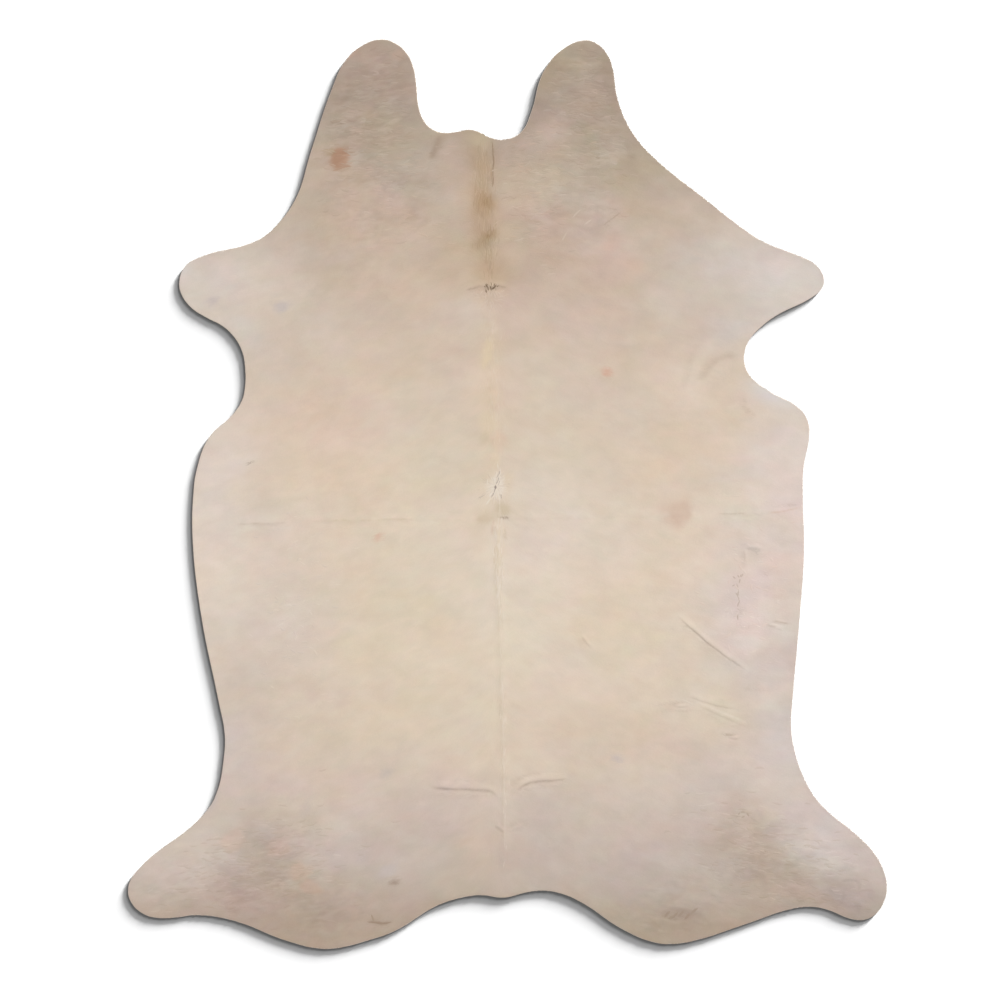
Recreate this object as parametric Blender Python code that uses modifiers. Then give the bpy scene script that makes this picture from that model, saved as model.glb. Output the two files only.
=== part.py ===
# A whole cattle hide with its hair on, cut in one piece and lying flat, hair side up.
# Metres. +Y runs from the rump to the neck and +Z is up. The origin is on the floor,
# under the middle of the hide.

import math

import bpy
import numpy as np
from mathutils import Vector
from mathutils.geometry import delaunay_2d_cdt

HIDE_LENGTH = 2.184  # rump to neck lobes
HIDE_WIDTH = 1.822  # hind leg to hind leg
BACK_THICKNESS = 0.0034  # skin with its short flat hair, along the backbone
FLANK_THICKNESS = 0.0026  # the same, out at the flanks and legs
BACK_SPREAD = 0.42  # distance from the backbone over which the hide thins
LATTICE_CELL = 0.065  # between the points inside the outline
FOLD_STEP = 0.045  # between the points along a fold
CURVE_STEPS = 4  # pieces of the cut edge between two landmarks
FOLD_TAPER = 0.05  # length over which a fold dies out at its ends
EDGE_CLEARANCE = 0.55  # least distance from a lattice point to the cut edge, in cells
FOLD_CLEARANCE = 0.45  # least distance from a lattice point to a fold's foot, in cells
END_THINNING = 0.3  # share by which the back's extra thickness falls at the neck and rump
INSIDE_TRIANGLES = 1  # the triangulation's output: triangles within the outline
WELD_DISTANCE = 1e-4

HAIR_COLOUR = (0.66, 0.56, 0.45, 1.0)
HAIR_ROUGHNESS = 0.85

# The cut edge, clockwise as seen from above: landmark, x, y.
OUTLINE = (
    ("neck notch", -0.087, 0.876),
    ("neck notch", -0.035, 0.855),
    ("neck notch", -0.010, 0.852),
    ("neck notch", 0.031, 0.869),
    ("right neck lobe", 0.057, 0.919),
    ("right neck lobe", 0.079, 0.999),
    ("right neck lobe", 0.098, 1.034),
    ("right neck lobe", 0.124, 1.063),
    ("right neck lobe tip", 0.186, 1.091),
    ("right neck lobe", 0.216, 1.082),
    ("right neck lobe", 0.237, 1.061),
    ("right neck lobe", 0.250, 1.034),
    ("right neck lobe", 0.263, 0.956),
    ("right side of neck", 0.279, 0.908),
    ("right side of neck", 0.306, 0.860),
    ("right side of neck", 0.343, 0.817),
    ("right shoulder", 0.479, 0.706),
    ("right shoulder", 0.565, 0.639),
    ("right foreleg", 0.611, 0.609),
    ("right foreleg", 0.698, 0.574),
    ("right foreleg", 0.732, 0.558),
    ("right foreleg", 0.752, 0.538),
    ("right foreleg tip", 0.760, 0.514),
    ("right foreleg", 0.754, 0.494),
    ("right foreleg", 0.736, 0.477),
    ("right foreleg", 0.644, 0.429),
    ("right foreleg notch", 0.604, 0.398),
    ("right foreleg notch", 0.581, 0.372),
    ("right foreleg notch", 0.569, 0.340),
    ("right foreleg notch", 0.570, 0.311),
    ("right foreleg notch", 0.584, 0.283),
    ("right foreleg notch", 0.621, 0.253),
    ("right flank", 0.704, 0.204),
    ("right flank", 0.721, 0.177),
    ("right flank", 0.725, 0.148),
    ("right flank", 0.711, 0.066),
    ("right flank", 0.709, 0.008),
    ("right flank", 0.712, -0.136),
    ("right flank", 0.702, -0.290),
    ("right flank", 0.685, -0.486),
    ("right waist", 0.681, -0.555),
    ("right waist", 0.686, -0.600),
    ("right hind leg", 0.717, -0.691),
    ("right hind leg", 0.751, -0.742),
    ("right hind leg", 0.842, -0.820),
    ("right hind leg", 0.881, -0.861),
    ("right hind leg", 0.905, -0.908),
    ("right hind leg tip", 0.911, -0.947),
    ("right hind leg", 0.904, -0.977),
    ("right hind leg", 0.888, -1.003),
    ("right hind leg", 0.862, -1.019),
    ("right hind leg", 0.833, -1.020),
    ("right hind leg", 0.764, -0.995),
    ("right hind leg", 0.726, -0.989),
    ("right hind leg", 0.683, -0.994),
    ("right rump", 0.574, -1.030),
    ("right rump", 0.446, -1.071),
    ("right rump", 0.400, -1.078),
    ("right rump", 0.354, -1.075),
    ("right rump", 0.274, -1.042),
    ("right rump", 0.180, -0.980),
    ("tail notch", 0.131, -0.958),
    ("tail notch", 0.080, -0.950),
    ("tail tab", 0.043, -0.955),
    ("tail tab", -0.008, -0.967),
    ("tail tab", -0.065, -0.961),
    ("tail notch", -0.109, -0.967),
    ("left rump", -0.164, -0.984),
    ("left rump", -0.272, -1.048),
    ("left rump", -0.335, -1.070),
    ("left rump", -0.396, -1.086),
    ("left rump", -0.444, -1.090),
    ("left rump", -0.535, -1.069),
    ("left rump", -0.652, -1.024),
    ("left hind leg", -0.744, -1.009),
    ("left hind leg", -0.799, -1.015),
    ("left hind leg", -0.846, -1.015),
    ("left hind leg", -0.876, -1.005),
    ("left hind leg", -0.903, -0.979),
    ("left hind leg tip", -0.911, -0.950),
    ("left hind leg", -0.904, -0.923),
    ("left hind leg", -0.882, -0.895),
    ("left hind leg", -0.853, -0.867),
    ("left hind leg", -0.763, -0.800),
    ("left hind leg", -0.726, -0.763),
    ("left hind leg", -0.702, -0.726),
    ("left waist", -0.680, -0.622),
    ("left waist", -0.679, -0.573),
    ("left waist", -0.694, -0.494),
    ("left flank", -0.736, -0.286),
    ("left flank", -0.756, -0.104),
    ("left flank", -0.754, 0.004),
    ("left flank", -0.747, 0.056),
    ("left flank", -0.716, 0.138),
    ("left foreleg notch", -0.660, 0.192),
    ("left foreleg notch", -0.638, 0.225),
    ("left foreleg notch", -0.630, 0.260),
    ("left foreleg notch", -0.630, 0.306),
    ("left foreleg notch", -0.636, 0.341),
    ("left foreleg notch", -0.655, 0.377),
    ("left foreleg", -0.683, 0.404),
    ("left foreleg", -0.724, 0.426),
    ("left foreleg", -0.758, 0.448),
    ("left foreleg", -0.784, 0.484),
    ("left foreleg tip", -0.788, 0.510),
    ("left foreleg", -0.775, 0.547),
    ("left foreleg", -0.744, 0.568),
    ("left foreleg", -0.616, 0.604),
    ("left shoulder", -0.580, 0.623),
    ("left shoulder", -0.551, 0.650),
    ("left shoulder", -0.509, 0.709),
    ("left side of neck", -0.472, 0.823),
    ("left neck lobe", -0.418, 0.983),
    ("left neck lobe", -0.392, 1.038),
    ("left neck lobe", -0.349, 1.078),
    ("left neck lobe tip", -0.301, 1.093),
    ("left neck lobe", -0.268, 1.083),
    ("left neck lobe", -0.242, 1.060),
    ("left neck lobe", -0.228, 1.033),
    ("left neck lobe", -0.220, 0.996),
    ("left neck lobe", -0.217, 0.965),
    ("left neck lobe", -0.214, 0.935),
    ("neck notch", -0.200, 0.897),
    ("neck notch", -0.180, 0.877),
    ("neck notch", -0.154, 0.869),
    ("neck notch", -0.122, 0.871),
)

# Folds that stand up from the floor: name, crest height, half width, points along the crest.
FOLDS = (
    ("backbone", 0.0016, 0.016, ((-0.035, 0.790), (-0.040, 0.650), (-0.041, 0.493), (-0.034, 0.250),
                                 (-0.028, 0.017), (-0.019, -0.254), (-0.010, -0.590), (-0.005, -0.920))),
    ("neck whorl crease", 0.0022, 0.012, ((-0.110, 0.484), (-0.041, 0.497), (0.012, 0.491))),
    ("line across the middle", 0.0012, 0.014, ((-0.660, -0.072), (-0.380, -0.062), (0.000, -0.056),
                                               (0.497, -0.045), (0.640, -0.036))),
    ("left arm of tail crease", 0.0028, 0.012, ((-0.195, -0.700), (-0.129, -0.704), (-0.048, -0.707),
                                                (-0.012, -0.730))),
    ("right arm of tail crease", 0.0028, 0.012, ((0.000, -0.726), (0.021, -0.707), (0.055, -0.688),
                                                 (0.117, -0.682), (0.153, -0.678))),
    ("long flank crease", 0.0030, 0.013, ((0.404, -0.285), (0.462, -0.340), (0.511, -0.376),
                                          (0.583, -0.424))),
    ("upper short flank crease", 0.0020, 0.011, ((0.424, -0.479), (0.473, -0.492), (0.554, -0.513))),
    ("lower short flank crease", 0.0022, 0.011, ((0.449, -0.524), (0.512, -0.540), (0.578, -0.563))),
    ("foreleg notch crease", 0.0022, 0.012, ((0.440, 0.346), (0.490, 0.330), (0.530, 0.296))),
    ("neck notch crease", 0.0018, 0.010, ((-0.167, 0.846), (-0.176, 0.826), (-0.186, 0.790))),
)

# Broad low swells, where the hide stands a little off the floor: name, x, y, half length,
# half width, turn in degrees, height.
SWELLS = (
    ("left neck lobe", -0.315, 0.940, 0.150, 0.085, 75.0, 0.0022),
    ("right neck lobe", 0.165, 0.950, 0.130, 0.075, 100.0, 0.0020),
    ("left foreleg", -0.640, 0.500, 0.110, 0.075, 10.0, 0.0020),
    ("right foreleg", 0.610, 0.500, 0.120, 0.080, -12.0, 0.0022),
    ("right flank", 0.540, -0.330, 0.200, 0.120, -40.0, 0.0030),
    ("left flank", -0.560, -0.330, 0.240, 0.110, 80.0, 0.0020),
    ("left hind leg", -0.720, -0.905, 0.140, 0.080, 25.0, 0.0026),
    ("right hind leg", 0.730, -0.880, 0.150, 0.080, -35.0, 0.0026),
    ("left rump", -0.430, -0.940, 0.150, 0.100, -15.0, 0.0018),
    ("right rump", 0.400, -0.930, 0.150, 0.100, 15.0, 0.0018),
)


def clear_scene():
    for item in list(bpy.data.objects):
        bpy.data.objects.remove(item, do_unlink=True)


def outline_points():
    """Points along a smooth curve through the landmarks, stretched to the hide's exact size."""
    curve = bpy.data.curves.new("cut_edge", "CURVE")
    curve.dimensions = "2D"
    curve.fill_mode = "NONE"
    curve.resolution_u = CURVE_STEPS
    spline = curve.splines.new("BEZIER")
    spline.bezier_points.add(len(OUTLINE) - 1)
    spline.use_cyclic_u = True
    for point, (_, x, y) in zip(spline.bezier_points, OUTLINE):
        point.co = (x, y, 0.0)
        point.handle_left_type = "AUTO"
        point.handle_right_type = "AUTO"
    guide = bpy.data.objects.new("cut_edge", curve)
    bpy.context.scene.collection.objects.link(guide)
    depsgraph = bpy.context.evaluated_depsgraph_get()
    wire = bpy.data.meshes.new_from_object(guide.evaluated_get(depsgraph))
    points = np.array([vertex.co[:2] for vertex in wire.vertices])
    bpy.data.meshes.remove(wire)
    bpy.data.objects.remove(guide, do_unlink=True)
    low, high = points.min(axis=0), points.max(axis=0)
    size = np.array([HIDE_WIDTH, HIDE_LENGTH])
    return (points - (low + high) / 2) * size / (high - low)


def along_route(route, places):
    """The nearest place on a route of straight runs: its distance, and how far along it lies."""
    route = np.array(route)
    best = np.full(len(places), np.inf)
    along = np.zeros(len(places))
    walked = 0.0
    for start, end in zip(route[:-1], route[1:]):
        run = end - start
        length = np.linalg.norm(run)
        share = np.clip((places - start) @ run / length**2, 0.0, 1.0)
        distance = np.linalg.norm(places - start - share[:, None] * run, axis=1)
        nearer = distance < best
        best[nearer] = distance[nearer]
        along[nearer] = walked + share[nearer] * length
        walked += length
    return best, along, walked


def fold_height(places):
    """Each fold is a ridge that falls in a straight line from its crest to its two feet."""
    height = np.zeros(len(places))
    for _, crest, half_width, route in FOLDS:
        distance, along, length = along_route(route, places)
        across = np.clip(1.0 - distance / half_width, 0.0, 1.0)
        ends = np.clip(np.minimum(along, length - along) / FOLD_TAPER, 0.0, 1.0)
        height = np.maximum(height, crest * across * ends)
    return height


def swell_height(places):
    """Each swell is (1 - r^2)^2 over an ellipse, so that it meets the floor level."""
    height = np.zeros(len(places))
    for _, x, y, half_length, half_width, turn, top in SWELLS:
        angle = math.radians(turn)
        dx, dy = places[:, 0] - x, places[:, 1] - y
        u = (dx * math.cos(angle) + dy * math.sin(angle)) / half_length
        v = (dy * math.cos(angle) - dx * math.sin(angle)) / half_width
        height += top * np.clip(1.0 - u**2 - v**2, 0.0, 1.0) ** 2
    return height


def inside(outline, places):
    """Whether each place lies within the outline, by counting the edges to its right."""
    x, y = places[:, :1], places[:, 1:]
    ax, ay = outline[:, 0], outline[:, 1]
    bx, by = np.roll(ax, -1), np.roll(ay, -1)
    straddles = (ay > y) != (by > y)
    rise = np.where(by == ay, 1.0, by - ay)
    crossing = ax + (y - ay) * (bx - ax) / rise
    return (straddles & (x < crossing)).sum(axis=1) % 2 == 1


def edge_distance(outline, places):
    closed = np.vstack([outline, outline[:1]])
    return along_route(closed, places)[0]


def lattice_points(outline):
    """Staggered rows of points, clear of the cut edge and of the folds."""
    rise = LATTICE_CELL * math.sqrt(3.0) / 2.0
    rows = np.arange(-HIDE_LENGTH / 2, HIDE_LENGTH / 2, rise)
    columns = np.arange(-HIDE_WIDTH / 2, HIDE_WIDTH / 2, LATTICE_CELL)
    x, y = np.meshgrid(columns, rows)
    x[1::2] += LATTICE_CELL / 2
    places = np.column_stack([x.ravel(), y.ravel()])
    places = places[inside(outline, places)]
    places = places[edge_distance(outline, places) > EDGE_CLEARANCE * LATTICE_CELL]
    for _, _, half_width, route in FOLDS:
        distance = along_route(route, places)[0]
        places = places[distance > half_width + FOLD_CLEARANCE * LATTICE_CELL]
    return places


def fold_points(half_width, route):
    """Points along the crest, in order, and along the two feet of a fold."""
    route = np.array(route)
    lengths = np.linalg.norm(np.diff(route, axis=0), axis=1)
    walked = np.concatenate([[0.0], np.cumsum(lengths)])
    steps = max(2, round(walked[-1] / FOLD_STEP))
    at = np.linspace(0.0, walked[-1], steps + 1)
    crest = np.column_stack([np.interp(at, walked, route[:, 0]), np.interp(at, walked, route[:, 1])])
    heading = np.gradient(crest, axis=0)
    heading /= np.linalg.norm(heading, axis=1)[:, None]
    aside = np.column_stack([-heading[:, 1], heading[:, 0]]) * half_width
    return crest, np.vstack([crest + aside, crest - aside])


def hide_surface():
    """The hide's underside: triangles over the outline, the lattice and the folds."""
    outline = outline_points()
    groups = [outline, lattice_points(outline)]
    count = len(outline)
    edges = [(i, (i + 1) % count) for i in range(count)]
    for _, _, half_width, route in FOLDS:
        crest, feet = fold_points(half_width, route)
        first = sum(len(group) for group in groups)
        edges += [(first + i, first + i + 1) for i in range(len(crest) - 1)]
        groups += [crest, feet]
    places = [Vector(place) for place in np.vstack(groups)]
    found, _, triangles, *_ = delaunay_2d_cdt(places, edges, [], INSIDE_TRIANGLES, WELD_DISTANCE)
    corners = np.array([tuple(place) for place in found])
    heights = fold_height(corners) + swell_height(corners)
    mesh = bpy.data.meshes.new("hide")
    mesh.from_pydata(np.column_stack([corners, heights]).tolist(), [], triangles)
    mesh.update()
    return mesh


def back_share(places):
    """1 on the middle of the back, falling off as a bell to the sides and a little to both ends."""
    across = np.exp(-((places[:, 0] / BACK_SPREAD) ** 2))
    lengthways = 1.0 - END_THINNING * (places[:, 1] / (HIDE_LENGTH / 2)) ** 2
    return across * lengthways


def hair_material():
    material = bpy.data.materials.new("pale_hair")
    material.use_nodes = True
    shader = material.node_tree.nodes["Principled BSDF"]
    shader.inputs["Base Color"].default_value = HAIR_COLOUR
    shader.inputs["Roughness"].default_value = HAIR_ROUGHNESS
    shader.inputs["Metallic"].default_value = 0.0
    return material


def build_hide(collection):
    """The sheet stands on its underside, so its thickness goes upwards."""
    mesh = hide_surface()
    mesh.shade_smooth()
    mesh.materials.append(hair_material())
    hide = bpy.data.objects.new("hide", mesh)
    collection.objects.link(hide)
    back = hide.vertex_groups.new(name="back")
    places = np.array([vertex.co[:2] for vertex in mesh.vertices])
    for index, share in enumerate(back_share(places)):
        back.add([index], float(share), "REPLACE")
    sheet = hide.modifiers.new("sheet", "SOLIDIFY")
    sheet.thickness = BACK_THICKNESS
    sheet.offset = 1.0
    sheet.vertex_group = back.name
    sheet.thickness_vertex_group = FLANK_THICKNESS / BACK_THICKNESS
    return hide


def main():
    clear_scene()
    collection = bpy.data.collections.new("cattle_hide")
    bpy.context.scene.collection.children.link(collection)
    build_hide(collection)


main()
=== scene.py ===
import math

import bmesh
import bpy
import numpy as np
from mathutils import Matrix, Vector
from mathutils.geometry import delaunay_2d_cdt


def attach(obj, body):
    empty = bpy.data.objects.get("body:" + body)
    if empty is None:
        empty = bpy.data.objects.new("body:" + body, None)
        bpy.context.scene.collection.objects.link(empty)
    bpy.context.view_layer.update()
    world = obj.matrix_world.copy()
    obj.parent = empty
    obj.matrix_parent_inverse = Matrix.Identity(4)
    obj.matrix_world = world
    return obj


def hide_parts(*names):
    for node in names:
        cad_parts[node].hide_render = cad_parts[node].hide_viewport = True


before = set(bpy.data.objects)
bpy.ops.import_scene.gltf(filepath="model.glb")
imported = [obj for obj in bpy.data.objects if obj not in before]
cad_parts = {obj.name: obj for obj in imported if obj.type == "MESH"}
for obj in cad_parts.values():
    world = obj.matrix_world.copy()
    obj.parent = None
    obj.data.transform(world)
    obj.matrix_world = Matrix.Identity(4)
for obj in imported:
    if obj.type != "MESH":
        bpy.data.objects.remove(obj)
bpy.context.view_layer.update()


# Small tools for whole arrays of places. x and y are arrays in metres.

# x and y of a grid's crossings, as two flat arrays.
def crossings(xs, ys):
    return (grid.ravel() for grid in np.meshgrid(xs, ys, indexing="ij"))


# 0 below low, 1 above high, and 3t^2 - 2t^3 between them.
def smoothStep(low, high, value):
    t = np.clip((value - low) / (high - low), 0.0, 1.0)
    return t * t * (3.0 - 2.0 * t)


cloudSettings = {
    "tableSize": 97,
    "turn": 0.6,  # of the lattice, in radians
    "turnPerSeed": 1.3,
    "offset": (48.3, 48.7),  # of the lattice, in cells
}


# Value noise from -1 to 1: a seeded table of numbers on a square lattice, blended between the
# four nearest with the ease 6t^5 - 15t^4 + 10t^3. The lattice is turned by the seed.
def cloud(x, y, size, seed):
    count = cloudSettings["tableSize"]
    table = np.random.default_rng(seed).uniform(-1.0, 1.0, (count, count))
    turn = cloudSettings["turn"] + cloudSettings["turnPerSeed"] * seed
    u = (x * math.cos(turn) + y * math.sin(turn)) / size + cloudSettings["offset"][0]
    v = (y * math.cos(turn) - x * math.sin(turn)) / size + cloudSettings["offset"][1]
    i, j = np.floor(u).astype(int), np.floor(v).astype(int)
    s, t = u - i, v - j
    s = s**3 * (s * (6.0 * s - 15.0) + 10.0)
    t = t**3 * (t * (6.0 * t - 15.0) + 10.0)
    i, j, nextI, nextJ = i % count, j % count, (i + 1) % count, (j + 1) % count
    near = table[i, j] * (1.0 - s) + table[nextI, j] * s
    far = table[i, nextJ] * (1.0 - s) + table[nextI, nextJ] * s
    return near * (1.0 - t) + far * t


# Clouds of halving size and strength, added up.
def clouds(x, y, size, seed, octaves=2):
    total = np.zeros(np.shape(x))
    for k in range(octaves):
        total += cloud(x, y, size / 2.0**k, seed + 11 * k) / 2.0**k
    return total / (2.0 - 2.0 ** (1 - octaves))


# A Catmull-Rom curve through the points, walked in even steps.
def smoothRoute(points, step):
    p = np.array(points, dtype=float)
    p = np.vstack([2 * p[0] - p[1], p, 2 * p[-1] - p[-2]])
    t = np.linspace(0.0, 1.0, 12, endpoint=False)[:, None]
    runs = []
    for a, b, c, d in zip(p[:-3], p[1:-2], p[2:-1], p[3:]):
        runs.append(b + 0.5 * t * (c - a + t * (2 * a - 5 * b + 4 * c - d + t * (3 * (b - c) + d - a))))
    fine = np.vstack(runs + [p[-2:-1]])
    walked = np.concatenate([[0.0], np.cumsum(np.hypot(*np.diff(fine, axis=0).T))])
    at = np.linspace(0.0, walked[-1], max(2, round(walked[-1] / step)) + 1)
    return np.column_stack([np.interp(at, walked, fine[:, 0]), np.interp(at, walked, fine[:, 1])])


# The nearest place on a route: the distance across it, + to its left and - to its right as it is
# walked, how far along it that place lies, and the route's length.
def acrossAndAlong(route, x, y):
    best = np.full(x.shape, np.inf)
    side = np.ones(x.shape)
    along = np.zeros(x.shape)
    walked = 0.0
    for (ax, ay), (bx, by) in zip(route[:-1], route[1:]):
        dx, dy = bx - ax, by - ay
        length = math.hypot(dx, dy)
        share = np.clip(((x - ax) * dx + (y - ay) * dy) / length**2, 0.0, 1.0)
        offX, offY = x - ax - share * dx, y - ay - share * dy
        distance = np.hypot(offX, offY)
        nearer = distance < best
        best[nearer] = distance[nearer]
        side[nearer] = np.where(dx * offY - dy * offX < 0.0, -1.0, 1.0)[nearer]
        along[nearer] = walked + share[nearer] * length
        walked += length
    return best * side, along, walked


# Which of the places lie in the route's box, widened by the reach.
def nearRoute(route, x, y, reach):
    (lowX, lowY), (highX, highY) = route.min(axis=0), route.max(axis=0)
    return (x > lowX - reach) & (x < highX + reach) & (y > lowY - reach) & (y < highY + reach)


# A bell over an ellipse: exp(-(u^2 + v^2)), u and v being the place in half lengths and half widths.
def bell(x, y, centreX, centreY, halfLength, halfWidth, turn):
    angle = math.radians(turn)
    dx, dy = x - centreX, y - centreY
    u = (dx * math.cos(angle) + dy * math.sin(angle)) / halfLength
    v = (dy * math.cos(angle) - dx * math.sin(angle)) / halfWidth
    return np.exp(-(u**2 + v**2))


# A mesh from an array of places and groups of faces. A group is an array with one row of corner
# numbers for each face.
def newMesh(name, places, faces, smooth=True):
    mesh = bpy.data.meshes.new(name)
    mesh.vertices.add(len(places))
    mesh.vertices.foreach_set("co", np.asarray(places, dtype=np.float32).ravel())
    sizes = np.concatenate([np.full(len(group), group.shape[1]) for group in faces])
    corners = np.concatenate([group.ravel() for group in faces])
    mesh.loops.add(len(corners))
    mesh.loops.foreach_set("vertex_index", corners.astype(np.int32))
    mesh.polygons.add(len(sizes))
    starts = np.concatenate([[0], np.cumsum(sizes)[:-1]])
    mesh.polygons.foreach_set("loop_start", starts.astype(np.int32))
    mesh.polygons.foreach_set("use_smooth", np.full(len(sizes), smooth))
    mesh.update(calc_edges=True)
    return mesh


# The finished piece, on the root body.
def newPiece(name, mesh):
    piece = bpy.data.objects.new(name, mesh)
    bpy.context.scene.collection.objects.link(piece)
    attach(piece, "root")
    return piece


# The cut edge

edgeSettings = {
    "pointStep": 0.005,  # between the points along the cut edge
    "mapCell": 0.006,  # grid of the map that tells how far a place is from the edge
    "mapStep": 0.010,  # between the edge's points for the map
    "mapMargin": 4,  # cells round the hide
    "joinReach": 1e-5,  # corners of the solid this near are one
    "undersideNormal": -0.7,  # faces whose normal's z is below this are the underside
    "wallNormal": 0.6,  # faces whose normal's z is nearer to 0 than this are the wall
}


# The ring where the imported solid's wall meets its underside, in walking order.
def solidRing(node):
    solid = bmesh.new()
    solid.from_mesh(node.data)
    bmesh.ops.remove_doubles(solid, verts=solid.verts, dist=edgeSettings["joinReach"])
    joined = {}
    for edge in solid.edges:
        low, high = sorted(face.normal.z for face in edge.link_faces)
        if low < edgeSettings["undersideNormal"] and abs(high) < edgeSettings["wallNormal"]:
            first, second = edge.verts
            joined.setdefault(first, []).append(second)
            joined.setdefault(second, []).append(first)
    start = next(iter(joined))
    ring, last, here = [start], start, joined[start][0]
    while here is not start:
        ring.append(here)
        last, here = here, next(vertex for vertex in joined[here] if vertex is not last)
    places = np.array([vertex.co[:2] for vertex in ring])
    solid.free()
    x, y = places.T
    area = (x * np.roll(y, -1) - y * np.roll(x, -1)).sum()
    return places if area > 0 else places[::-1]  # anticlockwise from above


# A closed smooth curve through the ring: cubic runs whose slope at each point is that of the line
# between its two neighbours, walked in even steps.
def closedCurve(ring, step):
    ahead = np.roll(ring, -1, axis=0)
    lengths = np.hypot(*(ahead - ring).T)
    slope = (ahead - np.roll(ring, 1, axis=0)) / (lengths + np.roll(lengths, 1))[:, None]
    t = np.linspace(0.0, 1.0, 8, endpoint=False)[None, :, None]
    a, b = ring[:, None, :], ahead[:, None, :]
    run = lengths[:, None, None]
    m, n = slope[:, None, :] * run, np.roll(slope, -1, axis=0)[:, None, :] * run
    fine = (2 * t**3 - 3 * t**2 + 1) * a + (t**3 - 2 * t**2 + t) * m
    fine = (fine + (3 * t**2 - 2 * t**3) * b + (t**3 - t**2) * n).reshape(-1, 2)
    closed = np.vstack([fine, fine[:1]])
    walked = np.concatenate([[0.0], np.cumsum(np.hypot(*np.diff(closed, axis=0).T))])
    at = np.linspace(0.0, walked[-1], round(walked[-1] / step), endpoint=False)
    return np.column_stack([np.interp(at, walked, closed[:, 0]), np.interp(at, walked, closed[:, 1])])


# The leftward normal of each point of the ring, which points into the hide.
def inwardNormals(ring):
    heading = np.roll(ring, -1, axis=0) - np.roll(ring, 1, axis=0)
    heading /= np.hypot(*heading.T)[:, None]
    return np.column_stack([-heading[:, 1], heading[:, 0]])


# How far each crossing of a grid is from the edge, + inside and - outside, where the sign counts
# the edge's runs that lie to the right of the place.
def edgeMapOf(ring, cell):
    margin = edgeSettings["mapMargin"]
    xs, ys = (np.arange(low - margin * cell, high + (margin + 1) * cell, cell)
              for low, high in zip(ring.min(axis=0), ring.max(axis=0)))
    x, y = crossings(xs, ys)
    best = np.full(x.shape, np.inf)
    inside = np.zeros(x.shape, dtype=bool)
    for (ax, ay), (bx, by) in zip(ring, np.roll(ring, -1, axis=0)):
        dx, dy = bx - ax, by - ay
        share = np.clip(((x - ax) * dx + (y - ay) * dy) / (dx * dx + dy * dy), 0.0, 1.0)
        best = np.minimum(best, (x - ax - share * dx) ** 2 + (y - ay - share * dy) ** 2)
        if dy != 0.0:
            inside ^= ((ay > y) != (by > y)) & (x < ax + (y - ay) * dx / dy)
    signed = np.where(inside, 1.0, -1.0) * np.sqrt(best)
    return xs[0], ys[0], signed.reshape(len(xs), len(ys))


hideRing = solidRing(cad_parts["hide"])
edgeRing = closedCurve(hideRing, edgeSettings["pointStep"])
edgeNormals = inwardNormals(edgeRing)
mapX, mapY, edgeMap = edgeMapOf(closedCurve(hideRing, edgeSettings["mapStep"]), edgeSettings["mapCell"])
print("cut edge:", len(edgeRing), "points")


# The edge map, blended between its four nearest crossings.
def edgeDistance(x, y):
    u = (x - mapX) / edgeSettings["mapCell"]
    v = (y - mapY) / edgeSettings["mapCell"]
    i = np.clip(np.floor(u).astype(int), 0, edgeMap.shape[0] - 2)
    j = np.clip(np.floor(v).astype(int), 0, edgeMap.shape[1] - 2)
    s, t = np.clip(u - i, 0.0, 1.0), np.clip(v - j, 0.0, 1.0)
    near = edgeMap[i, j] * (1.0 - s) + edgeMap[i + 1, j] * s
    far = edgeMap[i, j + 1] * (1.0 - s) + edgeMap[i + 1, j + 1] * s
    return near * (1.0 - t) + far * t


# The relief: folds, swells, ripples and the skin's own unevenness

reliefSettings = {
    "routeStep": 0.012,  # between the points of a fold's route
    "backThickness": 0.0030,  # skin along the backbone, under the hair
    "flankThickness": 0.0022,
    "backSpread": 0.42,
    "endThinning": 0.3,
    "halfHeight": 1.092,  # of the hide along y
    "foldTaper": 0.05,  # length over which a fold dies out at its ends
    "taperShare": 0.4,  # the most of a short fold's length
    "foldReach": 2.5,  # in gentle half widths
    "crestUneven": (0.8, 0.35, 0.035, 21),  # share of the crest height, its change, cloud size, seed
    "troughAt": 1.5,  # in steep half widths from the crest
    "troughShare": 0.30,  # depth of the trough at a fold's steep foot, in crest heights
    "underFold": 0.8,  # share of the folds that the flesh side follows
    # How far the folds and marks wander from their routes, cloud size, and the two seeds.
    "wander": (0.0016, 0.030, 5, 6),
    "uneven": ((0.00022, 0.120, 41, 3), (0.00010, 0.030, 45, 2)),  # height, cloud size, seed, octaves
    "edgeCalm": 0.012,  # width along the cut edge in which the hair side grows even
    "zoneBorder": (0.25, 0.75),  # a zone's bell where the ripples start and are full
    "dashWidth": 0.0056,  # half the pitch of the hair's short waves
    "dashStretch": 4.0,  # their length over their width
    "dashTilt": 0.16,
    "dashShift": (0.006, 0.045, 31),  # how far clouds push them up and down, cloud size, seed
    "dashGain": 1.6,
    "dashSeed": 33,
    "dashPatches": (0.35, 0.65, 0.6, 0.028, 34),  # least share, the rest, narrowing, cloud size, seed
    "dashPatchBorder": 0.35,
    "rippleHeight": 0.00016,
    "towardsLight": (0.64, 0.77),
}

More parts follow.
